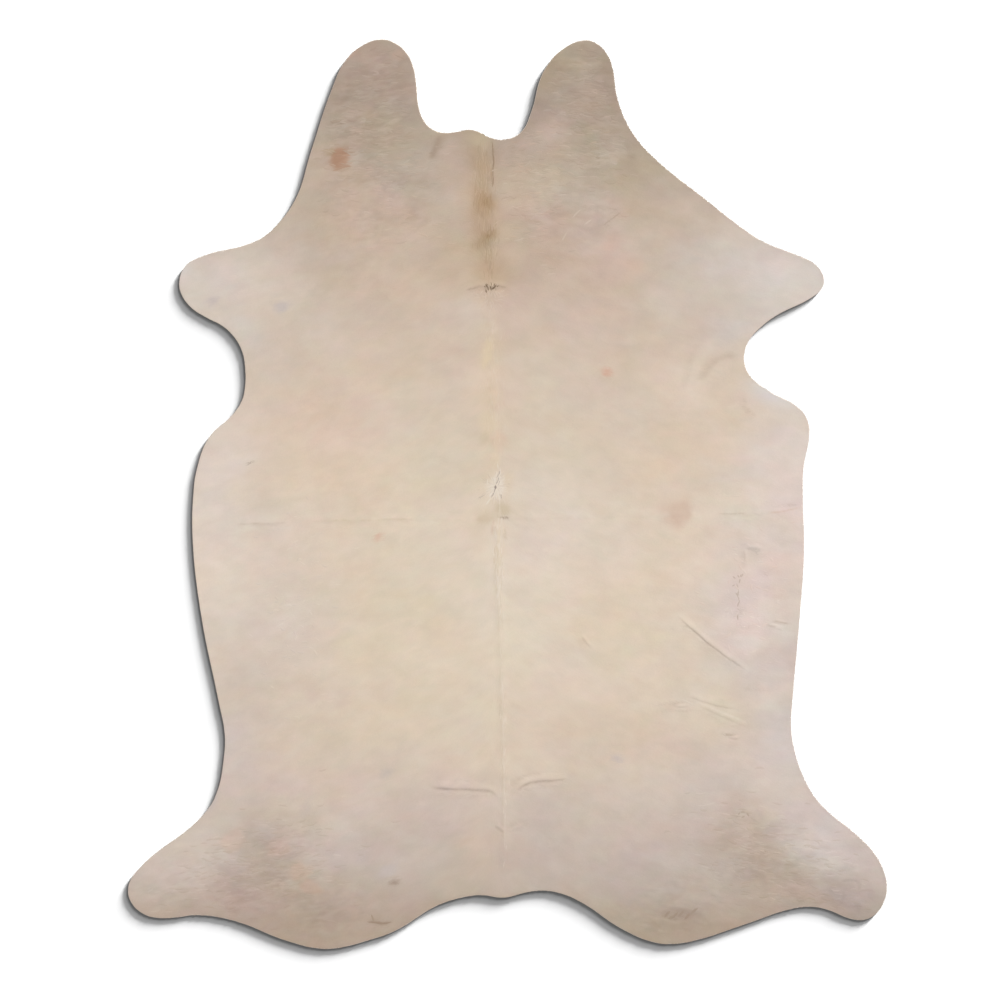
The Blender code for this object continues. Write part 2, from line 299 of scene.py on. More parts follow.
# Folds: crest height, half width on the steep side, half width on the side that faces the light,
# and points along the crest.
folds = {
    "neckBackbone": (0.0004, 0.012, 0.016, ((-0.036, 0.79), (-0.04, 0.65), (-0.041, 0.493),
        (-0.034, 0.25), (-0.028, 0.017))),
    "backbone": (0.0006, 0.012, 0.018, ((-0.026, -0.04), (-0.019, -0.254), (-0.01, -0.59),
        (-0.005, -0.92))),
    "neckWhorlCrease": (0.0013, 0.006, 0.014, ((-0.11, 0.484), (-0.09, 0.489), (-0.07, 0.497),
        (-0.041, 0.499), (-0.012, 0.499), (0.012, 0.491))),
    "middleLineLeft": (0.0006, 0.007, 0.016, ((-0.66, -0.072), (-0.59, -0.07), (-0.52, -0.068))),
    "middleLine": (0.0003, 0.007, 0.016, ((-0.48, -0.066), (-0.38, -0.062), (0, -0.056), (0.3, -0.05),
        (0.48, -0.046))),
    "middleLineRight": (0.0005, 0.007, 0.016, ((0.5, -0.047), (0.57, -0.046), (0.704, -0.033))),
    "leftTailArm": (0.0019, 0.007, 0.016, ((-0.195, -0.7), (-0.129, -0.704), (-0.048, -0.707),
        (-0.012, -0.73))),
    "rightTailArm": (0.0019, 0.007, 0.016, ((0, -0.726), (0.021, -0.707), (0.055, -0.688),
        (0.117, -0.682), (0.153, -0.678))),
    "longFlankCrease": (0.0009, 0.0036, 0.012, ((0.404, -0.285), (0.44, -0.318), (0.478, -0.352),
        (0.52, -0.384), (0.56, -0.412), (0.583, -0.424))),
    "upperFlankCrease": (0.0005, 0.004, 0.012, ((0.424, -0.479), (0.473, -0.496), (0.512, -0.506),
        (0.554, -0.515))),
    "lowerFlankCrease": (0.0008, 0.005, 0.012, ((0.449, -0.5), (0.512, -0.53), (0.578, -0.556))),
    "forelegNotchCrease": (0.0004, 0.007, 0.018, ((0.454, 0.269), (0.477, 0.282), (0.493, 0.301),
        (0.511, 0.317), (0.53, 0.326), (0.556, 0.323))),
    "forelegNotchFold": (0.0004, 0.012, 0.028, ((0.429, 0.222), (0.438, 0.262), (0.446, 0.3),
        (0.458, 0.334), (0.477, 0.361), (0.492, 0.38))),
    "neckNotchCrease": (0.0008, 0.007, 0.014, ((-0.158, 0.866), (-0.17, 0.836), (-0.186, 0.8))),
    "flankCrackUpper": (0.0003, 0.004, 0.008, ((0.566, -0.128), (0.571, -0.15), (0.569, -0.178))),
    "flankCurve": (0.0007, 0.005, 0.01, ((0.564, -0.131), (0.59, -0.126), (0.619, -0.131))),
    "flankWrinkle": (0.0005, 0.005, 0.01, ((0.63, -0.302), (0.655, -0.308), (0.672, -0.306))),
    "flankWrinkleLow": (0.0006, 0.005, 0.01, ((0.627, -0.318), (0.65, -0.322), (0.668, -0.325))),
    "smallFlankCrease": (0.0008, 0.004, 0.009, ((0.396, -0.507), (0.42, -0.509), (0.44, -0.506))),
    "creaseBelowPair": (0.0009, 0.004, 0.009, ((0.528, -0.581), (0.545, -0.585), (0.556, -0.583))),
    "neckWrinkle": (0.0008, 0.005, 0.01, ((-0.43, 0.889), (-0.406, 0.895), (-0.385, 0.892))),
    "rightNeckCurl": (0.0007, 0.005, 0.011, ((0.222, 0.654), (0.236, 0.672), (0.262, 0.69))),
    "tailVLeft": (0.0009, 0.005, 0.01, ((-0.034, -0.789), (-0.018, -0.802), (-0.004, -0.812))),
    "tailVRight": (0.0007, 0.005, 0.01, ((0.002, -0.812), (0.022, -0.8), (0.041, -0.795))),
    "hipMark": (0.0006, 0.004, 0.008, ((0.178, -0.336), (0.189, -0.352), (0.205, -0.372))),
}

# Broad low swells: x, y, half length, half width, turn in degrees, height.
swells = {
    "leftNeckLobe": (-0.315, 0.94, 0.15, 0.085, 75, 0.0022),
    "rightNeckLobe": (0.165, 0.95, 0.13, 0.075, 100, 0.002),
    "leftForeleg": (-0.64, 0.5, 0.11, 0.075, 10, 0.002),
    "rightForeleg": (0.61, 0.5, 0.12, 0.08, -12, 0.0022),
    "rightFlank": (0.54, -0.33, 0.2, 0.12, -40, 0.003),
    "leftFlank": (-0.56, -0.33, 0.24, 0.11, 80, 0.002),
    "leftHindLeg": (-0.72, -0.905, 0.14, 0.08, 25, 0.0026),
    "rightHindLeg": (0.73, -0.88, 0.15, 0.08, -35, 0.0026),
    "leftRump": (-0.43, -0.94, 0.15, 0.1, -15, 0.0018),
    "rightRump": (0.4, -0.93, 0.15, 0.1, 15, 0.0018),
}

# Where the hair lies in short waves: x, y, half length, half width, turn, strength.
rippleZones = {
    "leftNeckLobe": (-0.33, 0.92, 0.2, 0.11, 72, 1),
    "rightNeckLobe": (0.19, 0.92, 0.2, 0.095, 100, 1),
    "leftNeck": (-0.3, 0.7, 0.15, 0.15, 0, 0.5),
    "rightNeck": (0.15, 0.69, 0.14, 0.13, 0, 0.6),
    "leftHindLeg": (-0.6, -0.9, 0.2, 0.11, 20, 1),
    "rightHindLeg": (0.66, -0.88, 0.21, 0.11, -32, 1),
    "leftRump": (-0.45, -0.98, 0.13, 0.08, -12, 0.8),
    "rightRump": (0.4, -0.99, 0.14, 0.08, 12, 0.8),
    "leftFoot": (-0.8, -0.93, 0.1, 0.07, 20, 0.6),
    "rightFoot": (0.83, -0.94, 0.09, 0.07, -40, 0.7),
}

foldRoutes = {name: smoothRoute(row[3], reliefSettings["routeStep"]) for name, row in folds.items()}


# x and y pushed about by small clouds, so that a drawn line is never quite straight.
def wandered(x, y):
    by, size, seedX, seedY = reliefSettings["wander"]
    return x + by * clouds(x, y, size, seedX), y + by * clouds(x, y, size, seedY)


# 1 if the left side of a route faces the light, otherwise -1.
def lightSide(route):
    dx, dy = route[-1] - route[0]
    lightX, lightY = reliefSettings["towardsLight"]
    return 1.0 if -dy * lightX + dx * lightY > 0 else -1.0


# A fold is crest * (1 - u^2)^2, u being the distance over the half width of the side it is on.
# At its steep foot the hair parts in a trough of the same form. Both die out at the ends.
def foldRelief(x, y):
    relief = np.zeros(x.shape)
    px, py = wandered(x, y)
    level, change, size, seed = reliefSettings["crestUneven"]
    for name, (crest, steep, gentle, _) in folds.items():
        route = foldRoutes[name]
        near = nearRoute(route, x, y, reliefSettings["foldReach"] * gentle)
        across, along, length = acrossAndAlong(route, px[near], py[near])
        across = across * lightSide(route)
        taper = min(reliefSettings["foldTaper"], reliefSettings["taperShare"] * length)
        ends = smoothStep(0.0, taper, along) * smoothStep(0.0, taper, length - along)
        uneven = level + change * cloud(px[near], py[near], size, seed)
        ridge = np.clip(1.0 - (across / np.where(across < 0, steep, gentle)) ** 2, 0.0, 1.0) ** 2
        fromTrough = (across + reliefSettings["troughAt"] * steep) / steep
        trough = np.clip(1.0 - fromTrough**2, 0.0, 1.0) ** 2
        relief[near] += crest * ends * uneven * (ridge - reliefSettings["troughShare"] * trough)
    return relief


# Each swell is (1 - r^2)^2 over an ellipse, so that it meets the floor level.
def swellRelief(x, y):
    relief = np.zeros(x.shape)
    for centreX, centreY, halfLength, halfWidth, turn, height in swells.values():
        radius = -np.log(np.maximum(bell(x, y, centreX, centreY, halfLength, halfWidth, turn), 1e-9))
        relief += height * np.clip(1.0 - radius, 0.0, 1.0) ** 2
    return relief


# How strongly the hair ripples, from 0 to 1: the strongest zone's bell, sharpened.
def rippleStrength(x, y):
    strongest = np.zeros(x.shape)
    start, full = reliefSettings["zoneBorder"]
    for *ellipse, strength in rippleZones.values():
        strongest = np.maximum(strongest, strength * smoothStep(start, full, bell(x, y, *ellipse)))
    return strongest


# Short wavy dashes from -1 to 1: clouds longer than they are wide, tilted a little outwards and
# pushed up and down by wider clouds, at full strength only in patches.
def rippleWave(x, y):
    by, size, seed = reliefSettings["dashShift"]
    u = x / reliefSettings["dashStretch"]
    v = y + reliefSettings["dashTilt"] * np.abs(x) + by * clouds(x, y, size, seed)
    dashes = cloud(u, v, reliefSettings["dashWidth"], reliefSettings["dashSeed"])
    wave = np.tanh(reliefSettings["dashGain"] * dashes)
    least, rest, narrowing, size, seed = reliefSettings["dashPatches"]
    border = reliefSettings["dashPatchBorder"]
    patches = least + rest * smoothStep(-border, border, cloud(x * narrowing, y, size, seed))
    return wave * patches


# Thickest on the back: flank + (back - flank) * exp(-(x / spread)^2) * (1 - thinning * (y / half)^2).
def skinThickness(x, y):
    across = np.exp(-((x / reliefSettings["backSpread"]) ** 2))
    lengthways = 1.0 - reliefSettings["endThinning"] * (y / reliefSettings["halfHeight"]) ** 2
    flank, back = reliefSettings["flankThickness"], reliefSettings["backThickness"]
    return flank + (back - flank) * across * lengthways


# The flesh side lies on the floor, and follows the swells and the larger folds.
def undersideHeight(x, y):
    return swellRelief(x, y) + reliefSettings["underFold"] * np.clip(foldRelief(x, y), 0.0, None)


# The hair side: swells, folds and the skin's thickness, and the ripples and a soft unevenness, which
# die out towards the cut edge.
def topHeight(x, y):
    lift = swellRelief(x, y) + foldRelief(x, y) + skinThickness(x, y)
    wide, narrow = (height * clouds(x, y, *rest) for height, *rest in reliefSettings["uneven"])
    ripple = reliefSettings["rippleHeight"] * rippleStrength(x, y) * rippleWave(x, y)
    calm = smoothStep(0.0, reliefSettings["edgeCalm"], edgeDistance(x, y))
    return lift + (wide + narrow + ripple) * calm


# The coat's colour

coatSettings = {
    "exposure": 1.06,  # what a level white surface gives back under the lights
    # Patches: size, how strongly they go light or dark, pink or green, and straw or lilac, and how
    # much of the zones' gain they take.
    "patches": ((0.110, 1.30, 0.60, 0.80, 1.0), (0.052, 1.40, 0.60, 0.60, 1.0),
                (0.026, 1.60, 0.65, 0.50, 0.5), (0.013, 1.60, 0.60, 0.45, 0.1),
                (0.0068, 1.50, 0.60, 0.45, 0.0)),
    "patchSeeds": (61, 71, 81),  # for light, pink and straw
    "patchStretch": 1.5,
    "patchShift": (0.009, 0.045, 55, 56),  # how far clouds push them, cloud size, and the two seeds
    "patchGain": 2.0,
    "tintZoned": 0.5,  # share of the zones' gain that pink and straw take
    "toneShift": (0.030, 0.16, 51),  # how far clouds push the back's tones, cloud size, seed
    "crestShift": ((0.004, 0.018, 53), (0.006, 0.022, 54)),  # the same for the crest's strip, x and y
    "routeStep": 0.006,  # between the points of a mark's route
    "spotReach": 3.0,  # in half lengths or half widths
    "spotRagged": (0.7, 73),  # share, seed
    "spotBorder": (0.12, 0.68),
    "markReach": 4.0,  # in half widths
    "markTaper": 0.2,  # share of a mark's length over which it dies out
    "markGaps": (0.25, 0.009, 77),  # border, cloud size, seed
    "pink": (0.9, -0.7, -0.5),
    "straw": (0.1, 0.3, -1.4),
    # The ripples' painted shade and highlight: how strong, and how far their pattern is moved from the
    # ripples' height towards the light.
    "rippleShading": 6.5,
    "rippleShadingShift": (0.001, 0.002),  # from the ripples' height to their tint
}

# Where the patches are stronger than on the back: x, y, half length, half width, turn, by how much.
patchZones = {
    "leftNeck": (-0.26, 0.8, 0.28, 0.24, 90, 1.3),
    "rightNeck": (0.16, 0.78, 0.28, 0.24, 90, 1.3),
    "rightFlank": (0.6, -0.23, 0.28, 0.13, 90, 1.9),
    "leftHindLeg": (-0.6, -0.88, 0.26, 0.13, 20, 1.1),
    "rightHindLeg": (0.64, -0.86, 0.26, 0.13, -30, 1),
    "rump": (0, -1, 0.45, 0.1, 0, 0.8),
}

# Tones of the coat, as seen on the screen, 0 to 255.
tones = {
    # lobeTaupe: the neck lobes' tone, darkened with painted shade.
    "lobeTaupe": (174, 156, 139), "neckSand": (186, 168, 150), "shoulderSand": (197, 178, 162),
    "chestRose": (207, 188, 172), "roseCream": (214, 196, 178), "cream": (218, 201, 182),
    "paleCream": (223, 206, 187), "strawCream": (222, 205, 182), "milk": (222, 208, 197),
    "coolMilk": (214, 203, 194), "rumpRose": (206, 189, 176), "rumpGrey": (197, 181, 170),
    "rumpTaupe": (178, 160, 142), "hindTaupe": (182, 164, 149), "hindSand": (205, 191, 180),
    "footGrey": (196, 183, 173), "coolWaist": (209, 197, 190), "tan": (179, 152, 120),
    "paleTan": (188, 161, 134), "pink": (219, 189, 168), "greyLilac": (196, 184, 180),
    "blueMilk": (206, 197, 193), "iceMilk": (219, 213, 210), "spotOrange": (171, 133, 108),
    "spotRose": (210, 165, 144), "spotTan": (203, 172, 152), "moleBrown": (150, 130, 116),
    "straw": (222, 202, 172), "olive": (196, 178, 148), "shade": (160, 140, 122),
    # lightHair: light hair in the coat, and also the tone of painted highlights beside two folds.
    "lightHair": (232, 220, 206), "partingBrown": (120, 98, 74), "roseTan": (205, 172, 150),
    "footDark": (186, 172, 163), "roseMilk": (226, 206, 197), "patchBrown": (164, 136, 104),
    "rosySand": (203, 178, 156), "darkHair": (92, 74, 54), "oliveHair": (150, 128, 92),
    "whiteHair": (238, 232, 222), "greyHair": (160, 147, 138),
}

# The coat from the neck to the rump: y, tone. The darkness of the neck lobes, fading down to the
# chest, is painted shade: the light falling off towards the top of the hide.
backTones = (
    (1.09, "lobeTaupe"),
    (0.92, "lobeTaupe"),
    (0.79, "neckSand"),
    (0.635, "shoulderSand"),
    (0.45, "chestRose"),
    (0.24, "roseCream"),
    (0.04, "cream"),
    (-0.16, "paleCream"),
    (-0.44, "cream"),
    (-0.64, "roseCream"),
    (-0.75, "rumpRose"),
    (-0.88, "rumpGrey"),
    (-1.02, "rumpTaupe"),
    (-1.1, "rumpTaupe"),
)

# Broad tints over it: x, y, half length, half width, turn, tone, strength.
tints = {
    "leftForeleg": (-0.7, 0.505, 0.19, 0.105, 12, "coolMilk", 0.85),
    "rightForeleg": (0.69, 0.51, 0.21, 0.11, -14, "coolMilk", 1),
    "leftFlankUpper": (-0.7, 0.02, 0.3, 0.11, 90, "milk", 0.85),
    "rightFlankUpper": (0.69, 0.06, 0.33, 0.14, 90, "milk", 0.95),
    "rightFlankLower": (0.64, -0.23, 0.2, 0.12, 90, "milk", 0.6),
    "leftFlankLower": (-0.66, -0.26, 0.2, 0.09, 85, "milk", 0.3),
    "leftWaist": (-0.66, -0.6, 0.14, 0.09, 90, "hindSand", 1),
    "rightWaist": (0.67, -0.62, 0.15, 0.09, 90, "coolWaist", 0.9),
    "leftThigh": (-0.56, -0.72, 0.12, 0.11, 0, "rumpRose", 0.6),
    "rightThigh": (0.53, -0.73, 0.12, 0.11, 0, "rumpRose", 0.6),
    "leftHindOuter": (-0.77, -0.86, 0.12, 0.085, 40, "hindSand", 0.95),
    "rightHindOuter": (0.765, -0.825, 0.12, 0.085, -45, "coolWaist", 0.8),
    "leftHindTaupe": (-0.59, -0.9, 0.11, 0.095, 60, "hindTaupe", 0.95),
    "rightHindTaupe": (0.62, -0.872, 0.1, 0.085, -50, "rumpTaupe", 0.95),
    "leftHindLow": (-0.69, -0.975, 0.1, 0.045, 5, "hindTaupe", 0.8),
    "rightHindLow": (0.7, -0.955, 0.12, 0.05, -8, "hindTaupe", 0.9),
    "leftFoot": (-0.88, -0.955, 0.06, 0.055, 0, "hindSand", 0.45),
    "rightFoot": (0.875, -0.96, 0.065, 0.06, 0, "footDark", 0.75),
    "leftChestRose": (-0.43, 0.2, 0.14, 0.11, 30, "pink", 0.28),
    "leftRibRose": (-0.4, 0.03, 0.13, 0.11, 0, "pink", 0.22),
    "rightRibRose": (0.4, 0.06, 0.14, 0.12, 0, "pink", 0.25),
    "rightNotchCream": (0.45, 0.24, 0.11, 0.09, 0, "paleCream", 0.6),
    "rightNotchSide": (0.54, 0.3, 0.07, 0.09, 0, "cream", 0.6),
    "leftSideStraw": (-0.24, -0.3, 0.24, 0.26, 0, "strawCream", 0.55),
    "rightSideStraw": (0.21, -0.33, 0.23, 0.26, 0, "strawCream", 0.4),
    "belly": (0.02, -0.08, 0.3, 0.12, 0, "paleCream", 0.5),
    "lowSpine": (-0.005, -0.52, 0.24, 0.06, 90, "paleCream", 0.4),
    "tailBase": (-0.01, -0.86, 0.1, 0.06, 90, "olive", 0.24),
    "spineUpper": (-0.05, 0.37, 0.15, 0.04, 90, "straw", 0.36),
    "spineMiddle": (-0.04, 0.18, 0.15, 0.03, 90, "straw", 0.35),
    "rightFlankRose": (0.65, -0.11, 0.2, 0.09, 90, "roseMilk", 0.45),
    "rightThighCool": (0.475, -0.7, 0.085, 0.075, 0, "coolWaist", 0.5),
    "rightFlankRosy": (0.56, -0.25, 0.2, 0.11, 90, "roseMilk", 0.36),
    "rightFlankDim": (0.56, -0.25, 0.2, 0.11, 90, "greyLilac", 0.12),
    "crestOlive": (-0.082, 0.7, 0.17, 0.05, 91, "olive", 0.54),
    "leftSideGrey": (-0.533, -0.326, 0.22, 0.11, 90, "greyLilac", 0.24),
    "spineSideLight": (0.08, -0.3, 0.17, 0.1, 90, "lightHair", 0.32),
    "crestTan": (-0.017, 0.598, 0.17, 0.13, 0, "paleTan", 0.26),
    "whorlTan": (-0.005, 0.556, 0.09, 0.06, 90, "paleTan", 0.2),
    "rightChestSide": (0.535, 0.6, 0.11, 0.09, -30, "coolMilk", 0.3),
    "rightForelegRoot": (0.643, 0.406, 0.06, 0.05, 0, "coolMilk", 0.45),
    "rightFlankEdge": (0.684, -0.33, 0.14, 0.045, 90, "hindSand", 0.58),
    "rightFlankGrey": (0.547, -0.218, 0.07, 0.06, 90, "greyLilac", 0.26),
    "rightThighMilk": (0.607, -0.698, 0.06, 0.06, 0, "milk", 0.45),
    "rightThighTaupe": (0.548, -0.794, 0.045, 0.045, 0, "rumpTaupe", 0.3),
    "rightShankLight": (0.763, -0.866, 0.045, 0.04, 0, "coolWaist", 0.35),
    "rightHindMiddle": (0.52, -0.845, 0.065, 0.055, 0, "rumpTaupe", 0.34),
    "leftRumpSand": (-0.257, -0.926, 0.14, 0.055, 0, "hindSand", 0.3),
    "rightRumpSand": (0.223, -0.95, 0.14, 0.05, 0, "hindSand", 0.24),
    "tailRose": (-0.077, -0.83, 0.07, 0.05, 90, "pink", 0.3),
    "leftFootMilk": (-0.869, -0.902, 0.06, 0.045, 0, "coolMilk", 0.26),
    "leftShankSand": (-0.75, -0.94, 0.045, 0.04, 0, "hindSand", 0.34),
    "rightFootEnd": (0.89, -1, 0.04, 0.03, -45, "greyHair", 0.12),
    "rightLobeRoot": (0.14, 0.862, 0.045, 0.04, 0, "lobeTaupe", 0.42),
    "leftNotchSide": (-0.588, 0.298, 0.07, 0.06, 90, "rumpRose", 0.4),
    "leftLowFlank": (-0.66, -0.4, 0.11, 0.08, 90, "hindSand", 0.35),
    "rightLowFlank": (0.64, -0.39, 0.11, 0.08, 90, "coolWaist", 0.35),
    "leftShoulder": (-0.425, 0.634, 0.1, 0.09, 0, "neckSand", 0.24),
    "rightShoulder": (0.367, 0.658, 0.09, 0.08, 0, "coolWaist", 0.15),
    "centreRight": (0.11, -0.06, 0.1, 0.1, 0, "milk", 0.62),
    "leftLobeTip": (-0.3, 1.04, 0.05, 0.04, 0, "shade", 0.16),
    "leftMidChest": (-0.305, 0.52, 0.11, 0.09, 0, "rosySand", 0.5),
    "rightMidChest": (0.223, 0.52, 0.11, 0.09, 0, "rosySand", 0.4),
    "neckRightOfSpine": (0.03, 0.77, 0.09, 0.05, 90, "shoulderSand", 0.45),
    "neckLeftMid": (-0.13, 0.79, 0.08, 0.06, 90, "shoulderSand", 0.4),
    "rightNotchLobe": (0.1, 0.87, 0.05, 0.04, 60, "shoulderSand", 0.55),
    "leftNotchLobe": (-0.19, 0.86, 0.04, 0.04, 0, "neckSand", 0.5),
    "rightNeckEdge": (0.33, 0.76, 0.12, 0.05, -45, "neckSand", 0.15),
    "rightNotchUpper": (0.532, 0.39, 0.065, 0.042, 40, "blueMilk", 0.62),
    "rightNotchEdge": (0.632, 0.24, 0.058, 0.022, -26, "iceMilk", 0.75),
    "leftNotchBlue": (-0.625, 0.395, 0.065, 0.028, -50, "blueMilk", 0.48),
    "leftForelegTip": (-0.785, 0.54, 0.035, 0.022, 50, "iceMilk", 0.5),
    "leftFlankDim": (-0.588, -0.062, 0.11, 0.05, 90, "rumpRose", 0.34),
    "rightFootWedge": (0.893, -0.915, 0.05, 0.03, -70, "hindSand", 0.75),
    "rightFootShade": (0.828, -0.988, 0.055, 0.032, -30, "greyHair", 0.38),
    "rightFootInner": (0.792, -0.95, 0.045, 0.03, -20, "greyHair", 0.34),
    "leftSpineLight": (-0.08, 0.442, 0.085, 0.05, 0, "lightHair", 0.24),
    "leftBellyDim": (-0.425, -0.5, 0.09, 0.06, 0, "rumpRose", 0.42),
    "leftRumpDim": (-0.335, -0.655, 0.12, 0.06, 0, "rumpGrey", 0.26),
    "leftNeckTan": (-0.295, 0.655, 0.13, 0.055, 0, "paleTan", 0.2),
    "whorlLeftTan": (-0.1, 0.5, 0.1, 0.042, 0, "paleTan", 0.17),
    "crestRose": (0.02, 0.572, 0.11, 0.042, 0, "pink", 0.2),
    "rightNeckTan": (0.32, 0.72, 0.11, 0.045, -40, "paleTan", 0.13),
    "rightShankPale": (0.69, -0.83, 0.045, 0.055, 0, "coolWaist", 0.5),
    "rightChestCool": (0.39, 0.485, 0.07, 0.055, 0, "coolMilk", 0.36),
    "lowSpineLight": (-0.03, -0.23, 0.13, 0.04, 90, "lightHair", 0.26),
    "tailEndLight": (-0.03, -0.93, 0.09, 0.04, 0, "hindSand", 0.3),
}

# The dark strip of the crest, from the neck notch to the neck whorl, and its patches.
crestStrip = {
    "strip": (-0.061, 0.715, 0.155, 0.028, 91, "tan", 0.62),
    "upperPatch": (-0.056, 0.699, 0.027, 0.021, 90, "patchBrown", 0.88),
    "lowerPatch": (-0.055, 0.604, 0.03, 0.012, 35, "patchBrown", 0.62),
    "lowerPatchDark": (-0.043, 0.618, 0.016, 0.006, 40, "patchBrown", 0.75),
    "aboveWhorl": (-0.04, 0.545, 0.055, 0.042, 90, "paleTan", 0.5),
    "neckEndPatch": (-0.067, 0.848, 0.032, 0.03, 0, "olive", 0.55),
}

# Spots with ragged borders: x, y, half length, half width, turn, tone, strength.
spots = {
    "orangeNeckSpot": (-0.401, 0.808, 0.026, 0.023, 60, "spotOrange", 0.85),
    "rightChestSpot": (0.239, 0.292, 0.012, 0.01, 20, "spotRose", 0.7),
    "rightRibSpot": (0.403, -0.045, 0.042, 0.033, 10, "spotTan", 0.5),
    "leftRibTriangle": (-0.31, -0.104, 0.011, 0.009, 60, "spotRose", 0.6),
    "leftShoulderGrey": (-0.543, 0.45, 0.018, 0.013, 20, "greyLilac", 0.75),
    "leftForelegGrey": (-0.708, 0.464, 0.014, 0.01, 0, "greyLilac", 0.6),
    "leftMole": (-0.617, 0.076, 0.0045, 0.0035, 35, "moleBrown", 0.85),
    "leftRumpGrey": (-0.291, -0.671, 0.015, 0.013, 0, "footGrey", 0.75),
    "leftRumpSmudge": (-0.288, -0.904, 0.026, 0.014, 30, "greyLilac", 0.6),
    "leftLegSmudge": (-0.487, -0.76, 0.02, 0.012, 60, "rumpGrey", 0.5),
    "leftRumpBrown": (-0.27, -0.931, 0.012, 0.007, 0, "moleBrown", 0.6),
    "rightRumpBlue": (0.265, -0.635, 0.014, 0.01, -20, "greyLilac", 0.6),
    "rightRumpBrown": (0.416, -1.008, 0.042, 0.015, 0, "moleBrown", 0.28),
    "leftLegRose": (-0.658, -0.83, 0.03, 0.024, 30, "spotRose", 0.22),
    "leftLegRoseLow": (-0.55, -0.851, 0.03, 0.022, 0, "spotRose", 0.2),
    "leftRumpRose": (-0.497, -0.902, 0.03, 0.022, 20, "spotRose", 0.28),
    "leftRumpRoseLow": (-0.473, -0.94, 0.028, 0.018, -20, "spotRose", 0.26),
    "leftLobeRose": (-0.372, 1.061, 0.02, 0.012, 30, "spotRose", 0.2),
    "leftLobeRoseInner": (-0.262, 1.054, 0.018, 0.012, 0, "spotRose", 0.2),
    "lobeInnerShade": (-0.248, 1.018, 0.06, 0.02, 80, "shade", 0.22),
    "rightNeckWedge": (0.29, 0.795, 0.032, 0.02, -30, "shade", 0.18),
    "leftWaistBlue": (-0.714, -0.742, 0.034, 0.012, 60, "greyLilac", 0.55),
    "rightFootLilac": (0.8, -0.96, 0.06, 0.014, -20, "greyLilac", 0.3),
    "whorlHalo": (-0.028, 0.017, 0.03, 0.022, 90, "lightHair", 0.55),
    "rightOfMiddleOlive": (-0.011, -0.035, 0.021, 0.013, -20, "olive", 0.5),
    "leftOfMiddleOlive": (-0.056, -0.058, 0.018, 0.011, 0, "olive", 0.36),
    "middleOliveLink": (-0.034, -0.047, 0.022, 0.011, 0, "olive", 0.24),
    "orangeNeckLobe": (-0.426, 0.821, 0.014, 0.009, 20, "oliveHair", 0.28),
    "rightLobeEdgeShade": (0.243, 0.995, 0.07, 0.014, 100, "shade", 0.28),
    "spineOlivePatch": (-0.055, 0.135, 0.018, 0.01, 60, "olive", 0.34),
    "spineRosePatch": (-0.02, 0.128, 0.026, 0.02, 90, "spotRose", 0.2),
    "spineStrawPatch": (-0.048, 0.17, 0.026, 0.022, 90, "straw", 0.4),
    "whorlStraw": (0.003, 0.034, 0.028, 0.012, 90, "straw", 0.35),
    "whorlSmudge": (-0.061, -0.006, 0.005, 0.004, 0, "greyHair", 0.28),
    "strawStreak": (-0.05, 0.34, 0.036, 0.013, 80, "straw", 0.75),
    "strawStreakLow": (-0.03, 0.085, 0.03, 0.01, 90, "straw", 0.35),
    "chestPatch": (0.3, 0.56, 0.04, 0.03, 30, "spotRose", 0.12),
    "neckRosePatch": (0.25, 0.6, 0.03, 0.02, 60, "spotRose", 0.14),
}
